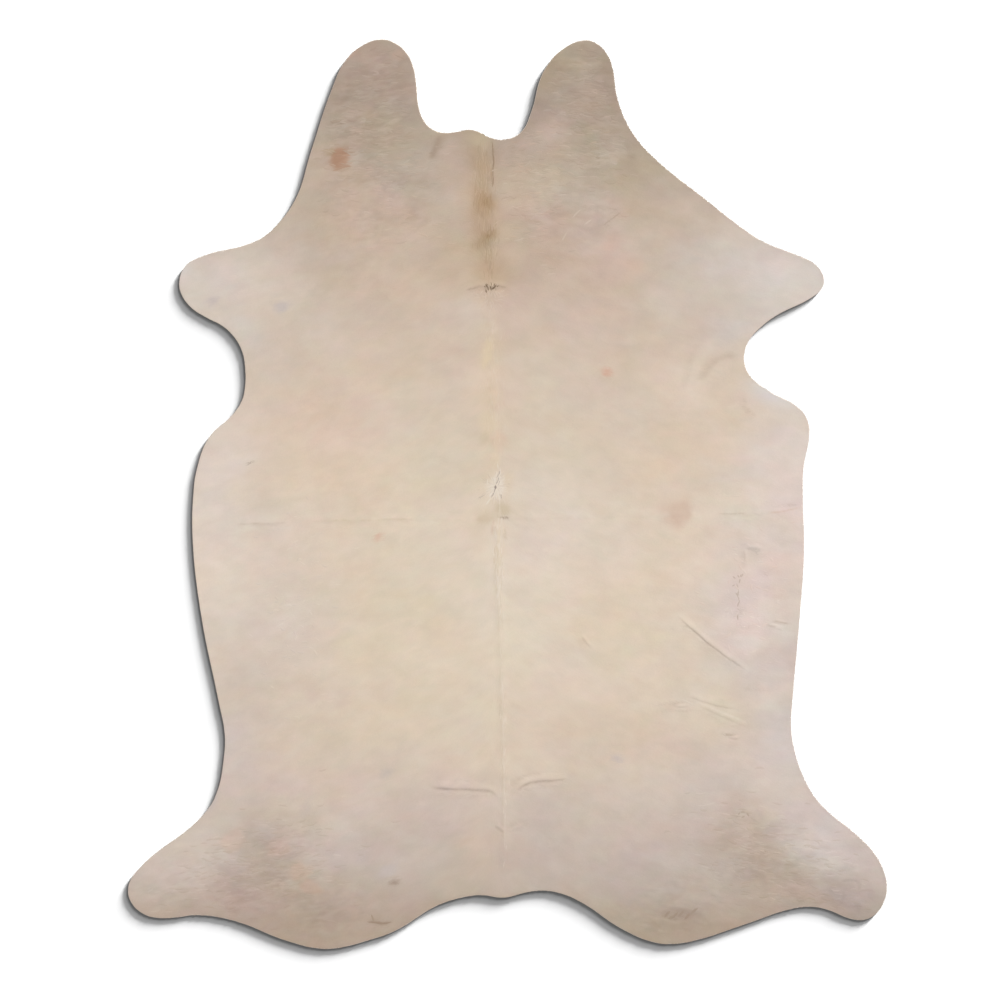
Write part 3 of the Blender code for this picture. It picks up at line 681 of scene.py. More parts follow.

# Fine lines in the coat: half width, tone, strength, how broken up the line is, points. Two of
# them run along a fold. Several are painted shade along folds, creases and wrinkles, and two are
# painted highlights beside folds, as noted at each.
marks = {
    "crestParting": (0.0014, "partingBrown", 0.3, 0.1, ((-0.038, 0.852), (-0.035, 0.826), (-0.034, 0.79),
        (-0.036, 0.76), (-0.036, 0.735))),
    "crestPartingLow": (0.0018, "shade", 0.3, 0.6, ((-0.036, 0.72), (-0.039, 0.62), (-0.041, 0.52))),
    "spineYellow": (0.006, "straw", 0.35, 0.3, ((-0.022, -0.07), (-0.022, -0.13), (-0.026, -0.2))),
    "spineOlive": (0.0022, "olive", 0.26, 0.5, ((-0.03, -0.14), (-0.031, -0.2), (-0.028, -0.26))),
    "spineLine": (0.0024, "lightHair", 0.4, 0.4, ((-0.014, -0.07), (-0.02, -0.15), (-0.02, -0.29))),
    "spineLineLow": (0.0022, "lightHair", 0.26, 0.5, ((-0.019, -0.29), (-0.012, -0.5), (-0.004, -0.9))),
    "spineShade": (0.0016, "olive", 0.18, 0.6, ((-0.024, -0.24), (-0.018, -0.4), (-0.015, -0.5),
        (-0.008, -0.9))),
    "whorlFanLeft": (0.002, "roseTan", 0.4, 0.2, ((-0.03, -0.058), (-0.036, -0.082), (-0.038, -0.1))),
    "whorlFanRight": (0.002, "olive", 0.4, 0.3, ((-0.014, -0.062), (-0.007, -0.085), (-0.004, -0.112))),
    # Painted shade along the left end of the crease across mid back.
    "middleLine": (0.0018, "shade", 0.25, 0.5, ((-0.655, -0.072), (-0.59, -0.071), (-0.525, -0.068))),
    "middleLineInner": (0.0016, "olive", 0.35, 0.7, ((-0.475, -0.066), (-0.42, -0.064), (-0.2, -0.06))),
    # Painted shade along the right part of the crease across mid back.
    "middleLineRight": (0.0016, "shade", 0.28, 0.3, ((0.504, -0.047), (0.54, -0.048), (0.574, -0.046))),
    "middleLineEdge": (0.0018, "roseTan", 0.45, 0.3, ((0.624, -0.044), (0.668, -0.04), (0.709, -0.031))),
    "middleLineTop": (0.0016, "shade", 0.22, 0.3, ((0.64, -0.032), (0.674, -0.027), (0.702, -0.024))),
    # Painted highlight on the lit side of the lower flank crease's ridge.
    "ridgeHighlight": (0.0026, "lightHair", 0.4, 0.3, ((0.446, -0.493), (0.512, -0.524), (0.58, -0.551))),
    "lowFlankLine": (0.0016, "shade", 0.24, 0.5, ((0.335, -0.506), (0.4, -0.503), (0.452, -0.497))),
    "lowFlankLineTwo": (0.0016, "shade", 0.22, 0.5, ((0.35, -0.522), (0.42, -0.519), (0.48, -0.521))),
    "lowFlankLineThree": (0.0016, "shade", 0.2, 0.5, ((0.56, -0.462), (0.6, -0.47), (0.65, -0.468))),
    "leftHindLine": (0.0018, "greyLilac", 0.5, 0.4, ((-0.5, -0.745), (-0.484, -0.752), (-0.47, -0.762))),
    "middleDash": (0.0022, "shade", 0.75, 0, ((-0.017, -0.056), (-0.006, -0.057), (0.004, -0.057))),
    # Painted shade along the long flank crease.
    "longFlankCrease": (0.0016, "shade", 0.26, 0.4, ((0.408, -0.291), (0.44, -0.32), (0.478, -0.355),
        (0.52, -0.387), (0.57, -0.42))),
    "flankCrackTop": (0.0014, "shade", 0.22, 0.2, ((0.567, -0.133), (0.571, -0.15), (0.571, -0.17))),
    "flankCrackLow": (0.0014, "shade", 0.3, 0.6, ((0.555, -0.27), (0.553, -0.3), (0.556, -0.32))),
    "flankSmudge": (0.003, "greyHair", 0.24, 0.2, ((0.574, -0.131), (0.592, -0.135), (0.61, -0.137))),
    # flankDashHigh and flankDashLow: painted shade along the two flank wrinkles.
    "flankDashHigh": (0.0018, "shade", 0.4, 0.2, ((0.637, -0.303), (0.655, -0.307), (0.676, -0.311))),
    "flankDashLow": (0.0018, "shade", 0.35, 0.2, ((0.624, -0.315), (0.645, -0.32))),
    # pairCrease and creaseBelowPair: painted shade along the upper flank crease and the short crease below
    # the pair.
    "pairCrease": (0.0014, "shade", 0.16, 0.4, ((0.428, -0.484), (0.473, -0.499), (0.51, -0.509),
        (0.552, -0.518))),
    "creaseBelowPair": (0.0018, "shade", 0.5, 0.1, ((0.511, -0.575), (0.535, -0.578), (0.552, -0.576))),
    # Painted shade along the two arms of the crease over the rump.
    "tailCreaseLeft": (0.0016, "shade", 0.28, 0.3, ((-0.185, -0.706), (-0.129, -0.709), (-0.048, -0.712),
        (-0.018, -0.729))),
    "tailCreaseRight": (0.0016, "shade", 0.28, 0.3, ((0.022, -0.712), (0.055, -0.693), (0.117, -0.687),
        (0.15, -0.683))),
    "whorlShadowLeft": (0.0026, "shade", 0.62, 0.2, ((-0.101, 0.491), (-0.085, 0.494), (-0.068, 0.499),
        (-0.055, 0.499))),
    "whorlShadow": (0.006, "shade", 0.45, 0.2, ((-0.056, 0.498), (-0.04, 0.497), (-0.026, 0.5))),
    "whorlShadowRight": (0.0024, "shade", 0.55, 0.2, ((-0.03, 0.501), (-0.016, 0.5), (-0.004, 0.495))),
    "neckNotchShade": (0.009, "shade", 0.6, 0, folds["neckNotchCrease"][3]),
    "forelegNotchShade": (0.008, "shade", 0.25, 0.2, ((0.449, 0.276), (0.471, 0.289), (0.487, 0.308),
        (0.506, 0.324), (0.529, 0.333), (0.557, 0.33))),
    # Painted highlight along the lit side of the fold by the right foreleg notch.
    "forelegNotchHighlight": (0.016, "lightHair", 0.17, 0.2, folds["forelegNotchFold"][3]),
    # Painted shade along a small arc below the notch.
    "forelegNotchHookShade": (0.0045, "shade", 0.22, 0.2, ((0.565, 0.238), (0.567, 0.212), (0.58, 0.196),
        (0.596, 0.186))),
    "rightFootCurve": (0.0028, "greyHair", 0.42, 0.2,
        ((0.799, -0.929), (0.838, -0.928), (0.847, -0.957))),
    "rightFootBarInner": (0.0055, "greyHair", 0.34, 0.2, ((0.804, -0.95), (0.809, -0.976))),
    "rightFootBarOuter": (0.0065, "greyHair", 0.34, 0.2, ((0.839, -0.974), (0.843, -1.008))),
    "rightNotchShade": (0.004, "shade", 0.45, 0.6, ((0.008, 0.842), (0.01, 0.82), (0.004, 0.806))),
    "rightNeckShade": (0.005, "shade", 0.3, 0.3, ((0.284, 0.842), (0.296, 0.812), (0.306, 0.806))),
    "rightNeckSlit": (0.0014, "shade", 0.4, 0.3, ((0.218, 0.85), (0.219, 0.81), (0.218, 0.78))),
    # Painted shade along the fold of the same name.
    "rightNeckCurl": (0.0018, "shade", 0.4, 0.2, ((0.236, 0.638), (0.246, 0.656), (0.264, 0.672))),
    # Painted shade along the fold of the neck wrinkle.
    "neckCurl": (0.0032, "shade", 0.85, 0.1, ((-0.424, 0.89), (-0.412, 0.896), (-0.402, 0.893),
        (-0.398, 0.885))),
    # Painted shade of a wrinkle over the rump; no fold lies under it.
    "rumpWrinkle": (0.0046, "shade", 0.75, 0.2, ((-0.336, -1.024), (-0.318, -1.026), (-0.296, -1.03),
        (-0.278, -1.027))),
}

markRoutes = {name: smoothRoute(row[4], coatSettings["routeStep"]) for name, row in marks.items()}


# The screen value c of 0 to 255 as linear light: ((c / 255 + 0.055) / 1.055) ^ 2.4.
def linear(colour):
    return ((np.asarray(colour) / 255.0 + 0.055) / 1.055) ** 2.4


# The colour moved towards a tone by the given share.
def blended(colour, toneName, share):
    return colour + share[:, None] * (np.array(tones[toneName]) - colour)


# The change of colour that the patches bring: stretched clouds of five sizes on places pushed
# about by wider clouds, with tanh to level them inside and sharpen their borders.
def patchChange(x, y):
    extra = np.zeros(x.shape)
    for *ellipse, strength in patchZones.values():
        extra += strength * bell(x, y, *ellipse)
    by, wide, seedX, seedY = coatSettings["patchShift"]
    u = x / coatSettings["patchStretch"] + by * clouds(x, y, wide, seedX)
    v = y + by * clouds(x, y, wide, seedY)
    change = np.zeros((len(x), 3))
    for k, (size, light, pink, straw, zoned) in enumerate(coatSettings["patches"]):
        lightGain, tintGain = 1.0 + zoned * extra, 1.0 + coatSettings["tintZoned"] * zoned * extra
        toLight, toPink, toStraw = (
            np.tanh(coatSettings["patchGain"] * cloud(u, v, size, seed + k))
            for seed in coatSettings["patchSeeds"])
        change += (light * lightGain * toLight)[:, None]
        change += pink * np.outer(tintGain * toPink, coatSettings["pink"])
        change += straw * np.outer(tintGain * toStraw, coatSettings["straw"])
    return change


# The coat at each place on the 0 to 255 scale: the tone for its y, then the tints, the patches,
# the spots and the marks laid over one another, and last the painted shade and highlight of the
# hair's short waves.
def coatTone(x, y):
    stations = np.array([row[0] for row in backTones])[::-1]
    values = np.array([tones[row[1]] for row in backTones], dtype=float)[::-1]
    by, size, seed = coatSettings["toneShift"]
    at = y + by * clouds(x, y, size, seed)
    colour = np.column_stack([np.interp(at, stations, channel) for channel in values.T])
    for *ellipse, toneName, strength in tints.values():
        colour = blended(colour, toneName, strength * bell(x, y, *ellipse))
    warpX, warpY = (
        place + by * cloud(x, y, size, seed)
        for place, (by, size, seed) in zip((x, y), coatSettings["crestShift"]))
    for *ellipse, toneName, strength in crestStrip.values():
        colour = blended(colour, toneName, strength * bell(warpX, warpY, *ellipse))
    colour += patchChange(x, y)
    (raggedShare, raggedSeed), spotBorder = coatSettings["spotRagged"], coatSettings["spotBorder"]
    for *ellipse, toneName, strength in spots.values():
        reach = coatSettings["spotReach"] * max(ellipse[2:4])
        near = (np.abs(x - ellipse[0]) < reach) & (np.abs(y - ellipse[1]) < reach)
        depth = bell(x[near], y[near], *ellipse)
        ragged = depth * (1.0 + raggedShare * clouds(x[near], y[near], ellipse[3], raggedSeed))
        colour[near] = blended(colour[near], toneName, strength * smoothStep(*spotBorder, ragged))
    px, py = wandered(x, y)
    border, size, seed = coatSettings["markGaps"]
    for name, (halfWidth, toneName, strength, broken, _) in marks.items():
        route = markRoutes[name]
        near = nearRoute(route, x, y, coatSettings["markReach"] * halfWidth)
        across, along, length = acrossAndAlong(route, px[near], py[near])
        taper = coatSettings["markTaper"] * length
        ends = smoothStep(-0.001, taper, along) * smoothStep(-0.001, taper, length - along)
        line = np.exp(-((across / halfWidth) ** 2)) * ends
        line *= 1.0 - broken * smoothStep(-border, border, cloud(x[near], y[near], size, seed))
        colour[near] = blended(colour[near], toneName, strength * line)
    # The hair's short waves as painted shade and highlight: their pattern, moved a little towards the light,
    # added to the colour.
    shiftX, shiftY = coatSettings["rippleShadingShift"]
    ripple = coatSettings["rippleShading"] * rippleStrength(x, y) * rippleWave(x + shiftX, y + shiftY)
    return colour + ripple[:, None]


# The same in linear light, for the lamps of this scene.
def coatColour(x, y):
    return linear(coatTone(x, y)) / coatSettings["exposure"]


# The sheet: hair side, cut edge and flesh side as one closed surface

sheetSettings = {
    "cell": 0.0111,
    "fineCell": 0.0037,  # where the hair ripples
    "undersideCell": 0.024,
    "edgeMargin": 0.016,  # the lattice stays this far inside the cut edge
    "fineCloser": 0.003,  # how much nearer to the edge the fine cells come
    "rippleLeast": 0.08,  # ripple strength from which the cells are fine
    "foldMargin": 0.022,
    "foldSearch": 0.06,  # how far round a fold its distance is worked out
    "foldThin": 0.002,  # squares that keep one point beside the folds
    "looseMargin": 0.002,  # between those points and the rim's last row
    "foldStep": 0.005,
    "foldRows": (-1.5, -1.0, -0.6, -0.3, 0.0, 0.25, 0.55, 1.0, 1.5),  # in half widths
    # Rows across the rim, from the underside round the edge to the hair side: how far in from the
    # edge, and the share of the thickness.
    "rim": ((0.011, 0.0), (0.004, 0.0), (0.0010, 0.0), (0.00025, 0.12), (0.0, 0.35), (0.0, 0.62),
            (0.0003, 0.84), (0.0011, 0.96), (0.0035, 1.0), (0.011, 1.0)),
    "wallRows": (2, 7),  # rows of the rim between which the edge material lies
    # Parts of the piece's own map: u and v of the origin with the scale, and where the strip starts
    # with its size.
    "mapHair": (0.315, 0.475, 0.33, 1.25),  # the last is v's extra stretch
    "mapFlesh": (0.810, 0.47, 0.19),
    "mapStrip": (0.01, 0.945, 0.98, 0.045),
}


# A square lattice over the hide. keep says which cells are used. Gives the used points, the cells
# as quads, and the edges between a used cell and an unused one.
def latticeOf(xs, ys, keep):
    columns = len(ys)
    number = np.arange(len(xs) * columns).reshape(len(xs), columns)
    a, b = number[:-1, :-1], number[1:, :-1]
    c, d = number[1:, 1:], number[:-1, 1:]
    quads = np.column_stack([corner[keep] for corner in (a, b, c, d)])
    padded = np.pad(keep, 1)
    border = []
    for first, second, neighbour in (
        (a, b, padded[1:-1, :-2]), (b, c, padded[2:, 1:-1]),
        (c, d, padded[1:-1, 2:]), (d, a, padded[:-2, 1:-1]),
    ):
        open_ = keep & ~neighbour
        border.append(np.column_stack([first[open_], second[open_]]))
    used, quads = np.unique(quads, return_inverse=True)
    renumber = np.full(len(xs) * columns, -1)
    renumber[used] = np.arange(len(used))
    places = np.column_stack([xs[used // columns], ys[used % columns]])
    return places, quads.reshape(-1, 4), renumber[np.vstack(border)]


# The lattice's lines across x and y, at whole cells, one cell beyond the hide.
def latticeLines(cell):
    limits = zip(edgeRing.min(axis=0), edgeRing.max(axis=0))
    return [np.arange(math.floor(low / cell) - 1, math.ceil(high / cell) + 2) * cell
            for low, high in limits]


# The lowest of a field's values at the four corners of each cell.
def lowestOverCells(values):
    left, right = values[:-1], values[1:]
    return np.minimum(np.minimum(left[:, :-1], right[:, :-1]), np.minimum(left[:, 1:], right[:, 1:]))


# How far each place is from the nearest fold's route, and 1 where no fold is near.
def foldDistance(x, y):
    nearest = np.full(x.shape, 1.0)
    for route in foldRoutes.values():
        near = nearRoute(route, x, y, sheetSettings["foldSearch"])
        across = acrossAndAlong(route, x[near], y[near])[0]
        nearest[near] = np.minimum(nearest[near], np.abs(across))
    return nearest


# Rows of points beside each fold, at set shares of its half widths, thinned to one in each small
# square where two folds meet.
def foldPoints():
    rows = []
    for name, (_, steep, gentle, points) in folds.items():
        route = smoothRoute(points, sheetSettings["foldStep"])
        heading = np.gradient(route, axis=0)
        heading /= np.hypot(*heading.T)[:, None]
        aside = np.column_stack([-heading[:, 1], heading[:, 0]]) * lightSide(route)
        for share in sheetSettings["foldRows"]:
            rows.append(route + aside * share * (steep if share < 0 else gentle))
    points = np.vstack(rows)
    _, first = np.unique(np.round(points / sheetSettings["foldThin"]).astype(int), axis=0, return_index=True)
    return points[np.sort(first)]


# Triangles between the ring, the lattices' borders and the loose points.
def filledGaps(groups, edges, covered):
    places = np.vstack(groups)
    corners = [Vector(place) for place in places]
    found, _, triangles, origins, *_ = delaunay_2d_cdt(corners, edges, [], 1, 1e-5)
    origin = np.array([ids[0] for ids in origins])
    triangles = origin[np.array(triangles)]
    a, b, c = (places[triangles[:, k]] for k in range(3))
    turn = (b[:, 0] - a[:, 0]) * (c[:, 1] - a[:, 1]) - (b[:, 1] - a[:, 1]) * (c[:, 0] - a[:, 0])
    triangles[turn < 0] = triangles[turn < 0][:, ::-1]
    middle = (a + b + c) / 3.0
    return triangles[~covered(middle[:, 0], middle[:, 1])]


# Whether each place lies in a kept cell of the lattice.
def inCells(x, y, xs, ys, cell, keep):
    i = np.clip(np.floor((x - xs[0]) / cell).astype(int), 0, keep.shape[0] - 1)
    j = np.clip(np.floor((y - ys[0]) / cell).astype(int), 0, keep.shape[1] - 1)
    return keep[i, j]


# The quads of the lattices, and the edges that the triangles keep to: the closed ring and the
# lattices' borders, numbered as the ring's points and then each lattice's.
def quadsAndEdges(ring, lattices):
    count = len(ring)
    quads, edges = [], [np.column_stack([np.arange(count), np.roll(np.arange(count), -1)])]
    for places, cells, border in lattices:
        quads.append(cells + count)
        edges.append(border + count)
        count += len(places)
    return np.vstack(quads), np.vstack(edges).tolist()


# A flat cover of the hide inside a ring: places, quads and triangles. With folds, it leaves room
# for their rows of points, and has fine cells where the hair ripples.
def cover(ring, cell, withFolds):
    margin, foldMargin = sheetSettings["edgeMargin"], sheetSettings["foldMargin"]
    xs, ys = latticeLines(cell)
    x, y = crossings(xs, ys)
    shape = (len(xs), len(ys))
    keep = lowestOverCells(edgeDistance(x, y).reshape(shape)) > margin
    if not withFolds:
        lattice = latticeOf(xs, ys, keep)
        quads, edges = quadsAndEdges(ring, [lattice])
        groups = [ring, lattice[0]]
        triangles = filledGaps(groups, edges, lambda u, v: inCells(u, v, xs, ys, cell, keep))
        return np.vstack(groups), quads, triangles
    clear = lowestOverCells(foldDistance(x, y).reshape(shape)) > foldMargin
    rippled = -lowestOverCells(-rippleStrength(x, y).reshape(shape)) > sheetSettings["rippleLeast"]
    coarse = keep & clear & ~rippled
    fineCell = sheetSettings["fineCell"]
    fineXs, fineYs = latticeLines(fineCell)
    x, y = crossings(fineXs, fineYs)
    shape = (len(fineXs), len(fineYs))
    fine = lowestOverCells(edgeDistance(x, y).reshape(shape)) > margin - sheetSettings["fineCloser"]
    fine &= lowestOverCells(foldDistance(x, y).reshape(shape)) > foldMargin
    midX, midY = crossings(fineXs[:-1] + fineCell / 2, fineYs[:-1] + fineCell / 2)
    parent = inCells(midX, midY, xs, ys, cell, rippled & keep).reshape(fine.shape)
    nearCoarse = np.zeros(fine.shape, dtype=bool)
    for stepX in (-fineCell, 0, fineCell):
        for stepY in (-fineCell, 0, fineCell):
            nearCoarse |= inCells(midX + stepX, midY + stepY, xs, ys, cell, coarse).reshape(fine.shape)
    fine &= parent & ~nearCoarse

    def covered(u, v):
        return inCells(u, v, xs, ys, cell, coarse) | inCells(u, v, fineXs, fineYs, fineCell, fine)

    lattices = [latticeOf(xs, ys, coarse), latticeOf(fineXs, fineYs, fine)]
    quads, edges = quadsAndEdges(ring, lattices)
    loose = foldPoints()
    loose = loose[edgeDistance(*loose.T) > sheetSettings["rim"][-1][0] + sheetSettings["looseMargin"]]
    loose = loose[~covered(*loose.T)]
    groups = [ring, lattices[0][0], lattices[1][0], loose]
    return np.vstack(groups), quads, filledGaps(groups, edges, covered)


# The rim is a profile carried along the cut edge. Its first and last rows are the rings of the
# underside's and the hair side's covers, which close the surface.
def buildSheet():
    rim = sheetSettings["rim"]
    count = len(edgeRing)
    flat = np.vstack([edgeRing + edgeNormals * inward for inward, _ in rim])
    share = np.repeat([row[1] for row in rim], count)
    low = undersideHeight(*flat.T)
    high = topHeight(*flat.T)
    rimPlaces = np.column_stack([flat, low + (high - low) * share])
    bottom, bottomQuads, bottomTriangles = cover(flat[:count], sheetSettings["undersideCell"], False)
    top, topQuads, topTriangles = cover(flat[-count:], sheetSettings["cell"], True)
    print("covers:", len(topQuads), "and", len(bottomQuads), "quads,",
          len(topTriangles), "and", len(bottomTriangles), "triangles")
    topXY, bottomXY = top[count:], bottom[count:]
    places = np.vstack([
        rimPlaces,
        np.column_stack([bottomXY, undersideHeight(*bottomXY.T)]),
        np.column_stack([topXY, topHeight(*topXY.T)]),
    ])
    firstBottom = len(rimPlaces)
    firstTop = firstBottom + len(bottomXY)
    lastRow = (len(rim) - 1) * count

    def bottomIndex(faces):
        return np.where(faces < count, faces, faces - count + firstBottom)[:, ::-1]

    def topIndex(faces):
        return np.where(faces < count, faces + lastRow, faces - count + firstTop)

    i = np.arange(count)
    j = (i + 1) % count
    bands = [np.column_stack([k * count + i, k * count + j, (k + 1) * count + j, (k + 1) * count + i])
             for k in range(len(rim) - 1)]
    wallStart, wallEnd = sheetSettings["wallRows"]
    under = [bottomIndex(bottomQuads), bottomIndex(bottomTriangles)] + bands[:wallStart]
    wall = bands[wallStart:wallEnd]
    over = [topIndex(topQuads), topIndex(topTriangles)] + bands[wallEnd:]
    faces = under + wall + over
    mesh = newMesh("hide_sheet", places, faces)
    slots = np.concatenate([
        np.full(sum(map(len, under)), 2), np.full(sum(map(len, wall)), 1), np.full(sum(map(len, over)), 0)])
    mesh.polygons.foreach_set("material_index", slots.astype(np.int32))
    addSheetMap(mesh, places, faces, len(under), len(wall), count)
    colours = np.ones((len(places), 4))
    colours[:, :3] = coatColour(places[:, 0], places[:, 1])
    layer = mesh.attributes.new("coatColour", "FLOAT_COLOR", "POINT")
    layer.data.foreach_set("color", colours.astype(np.float32).ravel())
    return newPiece("hide_sheet", mesh)


# The piece's own map: the hair side flat at the left, the flesh side flat and smaller at the
# right, and the cut edge as a strip along the top.
def addSheetMap(mesh, places, faces, underCount, wallCount, count):
    corners = []
    hairU, hairV, hairScale, hairStretch = sheetSettings["mapHair"]
    fleshU, fleshV, fleshScale = sheetSettings["mapFlesh"]
    stripU, stripV, stripLength, stripHeight = sheetSettings["mapStrip"]
    for k, group in enumerate(faces):
        x, y = places[group.ravel(), 0], places[group.ravel(), 1]
        if k < underCount:
            corners.append(np.column_stack([fleshU - fleshScale * x, fleshV + fleshScale * y]))
        elif k < underCount + wallCount:
            row = k - underCount
            i = np.arange(count)
            u = stripU + stripLength * np.column_stack([i, i + 1, i + 1, i]).ravel() / count
            v = stripV + stripHeight * (row + np.tile([0, 0, 1, 1], count)) / wallCount
            corners.append(np.column_stack([u, v]))
        else:
            corners.append(np.column_stack([hairU + hairScale * x, hairV + hairScale * hairStretch * y]))
    layer = mesh.uv_layers.new(name="OFBake")
    layer.data.foreach_set("uv", np.vstack(corners).astype(np.float32).ravel())


# The hair: thousands of short flat locks that lie along the coat's flow

lockSettings = {
    "spacing": 0.0041,
    "fineSpacing": 0.0032,  # where the hair ripples
    "seed": 2027,
    "edgeGap": 0.0012,  # between a lock's root and the cut edge
    "fineFrom": (0.1, 0.5),  # ripple strength from which a place has fine locks, by chance
    "length": (0.011, 0.017),
    "fineLength": (0.0055, 0.0080),
    "nearFold": (0.45, 0.55),  # share of the length in a fold, and what comes back away from it
    "width": (0.0024, 0.0036),
    "fineWidth": 0.85,  # share of the width
    "turnClouds": (0.16, 0.050, 81),  # radians, cloud size, seed
    "tipShare": 0.45,  # of the tip's colour at the crest
    "crestAt": 0.40,  # share of the lock's length
    "crest": 0.00003,
    "rootDepth": 0.00003,
    "tipLift": 0.00003,
    "layers": 0.00006,  # how far the locks lie over one another
    "foldReach": 0.012,  # locks are short this near to a fold
    "scatter": 9.0,  # degrees that a lock turns from the flow
    "shortest": 0.15,  # share of the length that a lock keeps at the edge
    "overEdge": 0.0007,  # how far a tip passes the cut edge
    "tintScatter": 0.005,
    "rootTint": 0.990,
    "tipTint": 1.006,
}

flowSettings = {
    "parting": (2.4, 0.03, 0.07, 0.8),  # pull outwards, how far left it lies, half width, pull per metre
    "crest": (2.4, 0.49, 0.56, 0.045, 0.055),  # pull forwards, y from and to, how far left, half width
    "hind": (0.9, -0.70, -0.85, 0.50, 0.75),  # pull outwards, y from and to, x from and to
    "foreleg": (1.6, 0.30, 0.42, 0.50, 0.68),
    "swirl": 0.35,  # of a whorl, to its outward pull
}

# Whorls, where the hair turns outwards from a point: x, y, reach, strength.
whorls = {"neck": (-0.041, 0.493, 0.070, 2.2), "back": (-0.028, 0.017, 0.060, 2.0)}


# The way the hair lies, as a unit vector: outward and a little rearward over the body, rearward
# along the backbone, forward along the crest in front of the neck whorl, and outward round the
# whorls and on the legs.
def hairFlow(x, y):
    pull, left, halfWidth, perMetre = flowSettings["parting"]
    flowX = pull * np.tanh((x + left) / halfWidth) + perMetre * x
    flowY = -np.ones(x.shape)
    pull, start, full, left, halfWidth = flowSettings["crest"]
    flowY += pull * (smoothStep(start, full, y) * np.exp(-(((x + left) / halfWidth) ** 2)))
    for part in ("hind", "foreleg"):
        pull, startY, fullY, startX, fullX = flowSettings[part]
        leg = smoothStep(startY, fullY, y) * smoothStep(startX, fullX, np.abs(x))
        flowX += pull * leg * np.sign(x)
    swirl = flowSettings["swirl"]
    for centreX, centreY, reach, strength in whorls.values():
        dx, dy = x - centreX, y - centreY
        distance = np.hypot(dx, dy) + 1e-6
        pull = strength * np.exp(-((distance / reach) ** 2)) / distance
        flowX += pull * (dx - swirl * dy)
        flowY += pull * (dy + swirl * dx)
    length = np.hypot(flowX, flowY) + 1e-9
    return flowX / length, flowY / length


# A place in each square of a lattice, moved by chance inside it, where the test lets it stay.
def scattered(spacing, dice, wanted):
    xs = np.arange(edgeRing[:, 0].min(), edgeRing[:, 0].max(), spacing)
    ys = np.arange(edgeRing[:, 1].min(), edgeRing[:, 1].max(), spacing)
    x, y = crossings(xs, ys)
    x = x + spacing * dice.uniform(0.0, 1.0, x.shape)
    y = y + spacing * dice.uniform(0.0, 1.0, y.shape)
    stays = wanted(x, y)
    return x[stays], y[stays]


# Each lock is a closed low pyramid of four triangles: its root's two corners, a crest and a tip.
# The crest always stands over the flat of the other three. A lock that would pass the cut edge is
# shortened.
def lockPlaces(x, y, length, width, angle, lift):
    crestAt = lockSettings["crestAt"]
    dirX, dirY = np.cos(angle), np.sin(angle)
    rootDistance = edgeDistance(x, y)
    tipDistance = edgeDistance(x + length * dirX, y + length * dirY)
    passes = tipDistance < -lockSettings["overEdge"]
    room = (rootDistance + lockSettings["overEdge"]) / np.maximum(rootDistance - tipDistance, 1e-6)
    length = np.where(passes, length * np.clip(room, lockSettings["shortest"], 1.0), length)
    tipX, tipY = x + length * dirX, y + length * dirY
    crestX, crestY = x + crestAt * length * dirX, y + crestAt * length * dirY
    leftX, leftY = x - 0.5 * width * dirY, y + 0.5 * width * dirX
    rightX, rightY = x + 0.5 * width * dirY, y - 0.5 * width * dirX
    leftZ = topHeight(leftX, leftY) - lockSettings["rootDepth"]
    rightZ = topHeight(rightX, rightY) - lockSettings["rootDepth"]
    tipZ = topHeight(tipX, tipY) + lockSettings["tipLift"] + lift
    flat = (1.0 - crestAt) * 0.5 * (leftZ + rightZ) + crestAt * tipZ
    crestZ = np.maximum(topHeight(crestX, crestY) + lift, flat) + lockSettings["crest"]
    rows = ((leftX, leftY, leftZ), (rightX, rightY, rightZ), (crestX, crestY, crestZ), (tipX, tipY, tipZ))
    return np.stack([np.column_stack(row) for row in rows], axis=1)


# The form of one lock: the corners of its triangles, and their places in its square of the
# piece's own map, with the upper sides at the left and the lower side at the right.
lockFaces = ((0, 2, 3), (1, 3, 2), (0, 1, 2), (0, 3, 1))
lockUpper = {0: (0.08, 0.10), 1: (0.62, 0.10), 2: (0.35, 0.42), 3: (0.35, 0.92)}
lockLower = {0: (0.70, 0.10), 1: (0.92, 0.10), 3: (0.81, 0.92)}
lockPattern = [lockUpper[k] for face in lockFaces[:3] for k in face]
lockPattern += [lockLower[k] for k in lockFaces[3]]


# One mesh of many small closed forms that have the same faces. corners and colours hold a row of
# points for each form, and each form has a square of the map.
def buildMany(name, corners, colours, formFaces, pattern):
    count, size = corners.shape[:2]
    faces = (np.array(formFaces)[None] + size * np.arange(count)[:, None, None]).reshape(-1, 3)
    mesh = newMesh(name, corners.reshape(-1, 3), [faces], smooth=False)
    across = math.ceil(math.sqrt(count))
    square = np.column_stack([np.arange(count) % across, np.arange(count) // across])
    places = (square[:, None, :] + np.array(pattern)[None]).reshape(-1, 2) / across
    layer = mesh.uv_layers.new(name="OFBake")
    layer.data.foreach_set("uv", places.astype(np.float32).ravel())
    full = np.ones((size * count, 4))
    full[:, :3] = colours.reshape(-1, 3)
    tint = mesh.attributes.new("coatColour", "FLOAT_COLOR", "POINT")
    tint.data.foreach_set("color", full.astype(np.float32).ravel())
    return newPiece(name, mesh)


# Root, crest and tip colours of each lock: the coat's colour at its two ends, a little darker at
# the root and lighter at the tip, times its own chance tint.
def lockColours(corners, dice):
    root = coatColour(*corners[:, 0:2, :2].mean(axis=1).T)
    tip = coatColour(*corners[:, 3, :2].T)
    own = 1.0 + lockSettings["tintScatter"] * dice.standard_normal(len(corners))[:, None]
    root = root * own * lockSettings["rootTint"]
    tip = tip * own * lockSettings["tipTint"]
    tipShare = lockSettings["tipShare"]
    return np.stack([root, root, (1.0 - tipShare) * root + tipShare * tip, tip], axis=1)


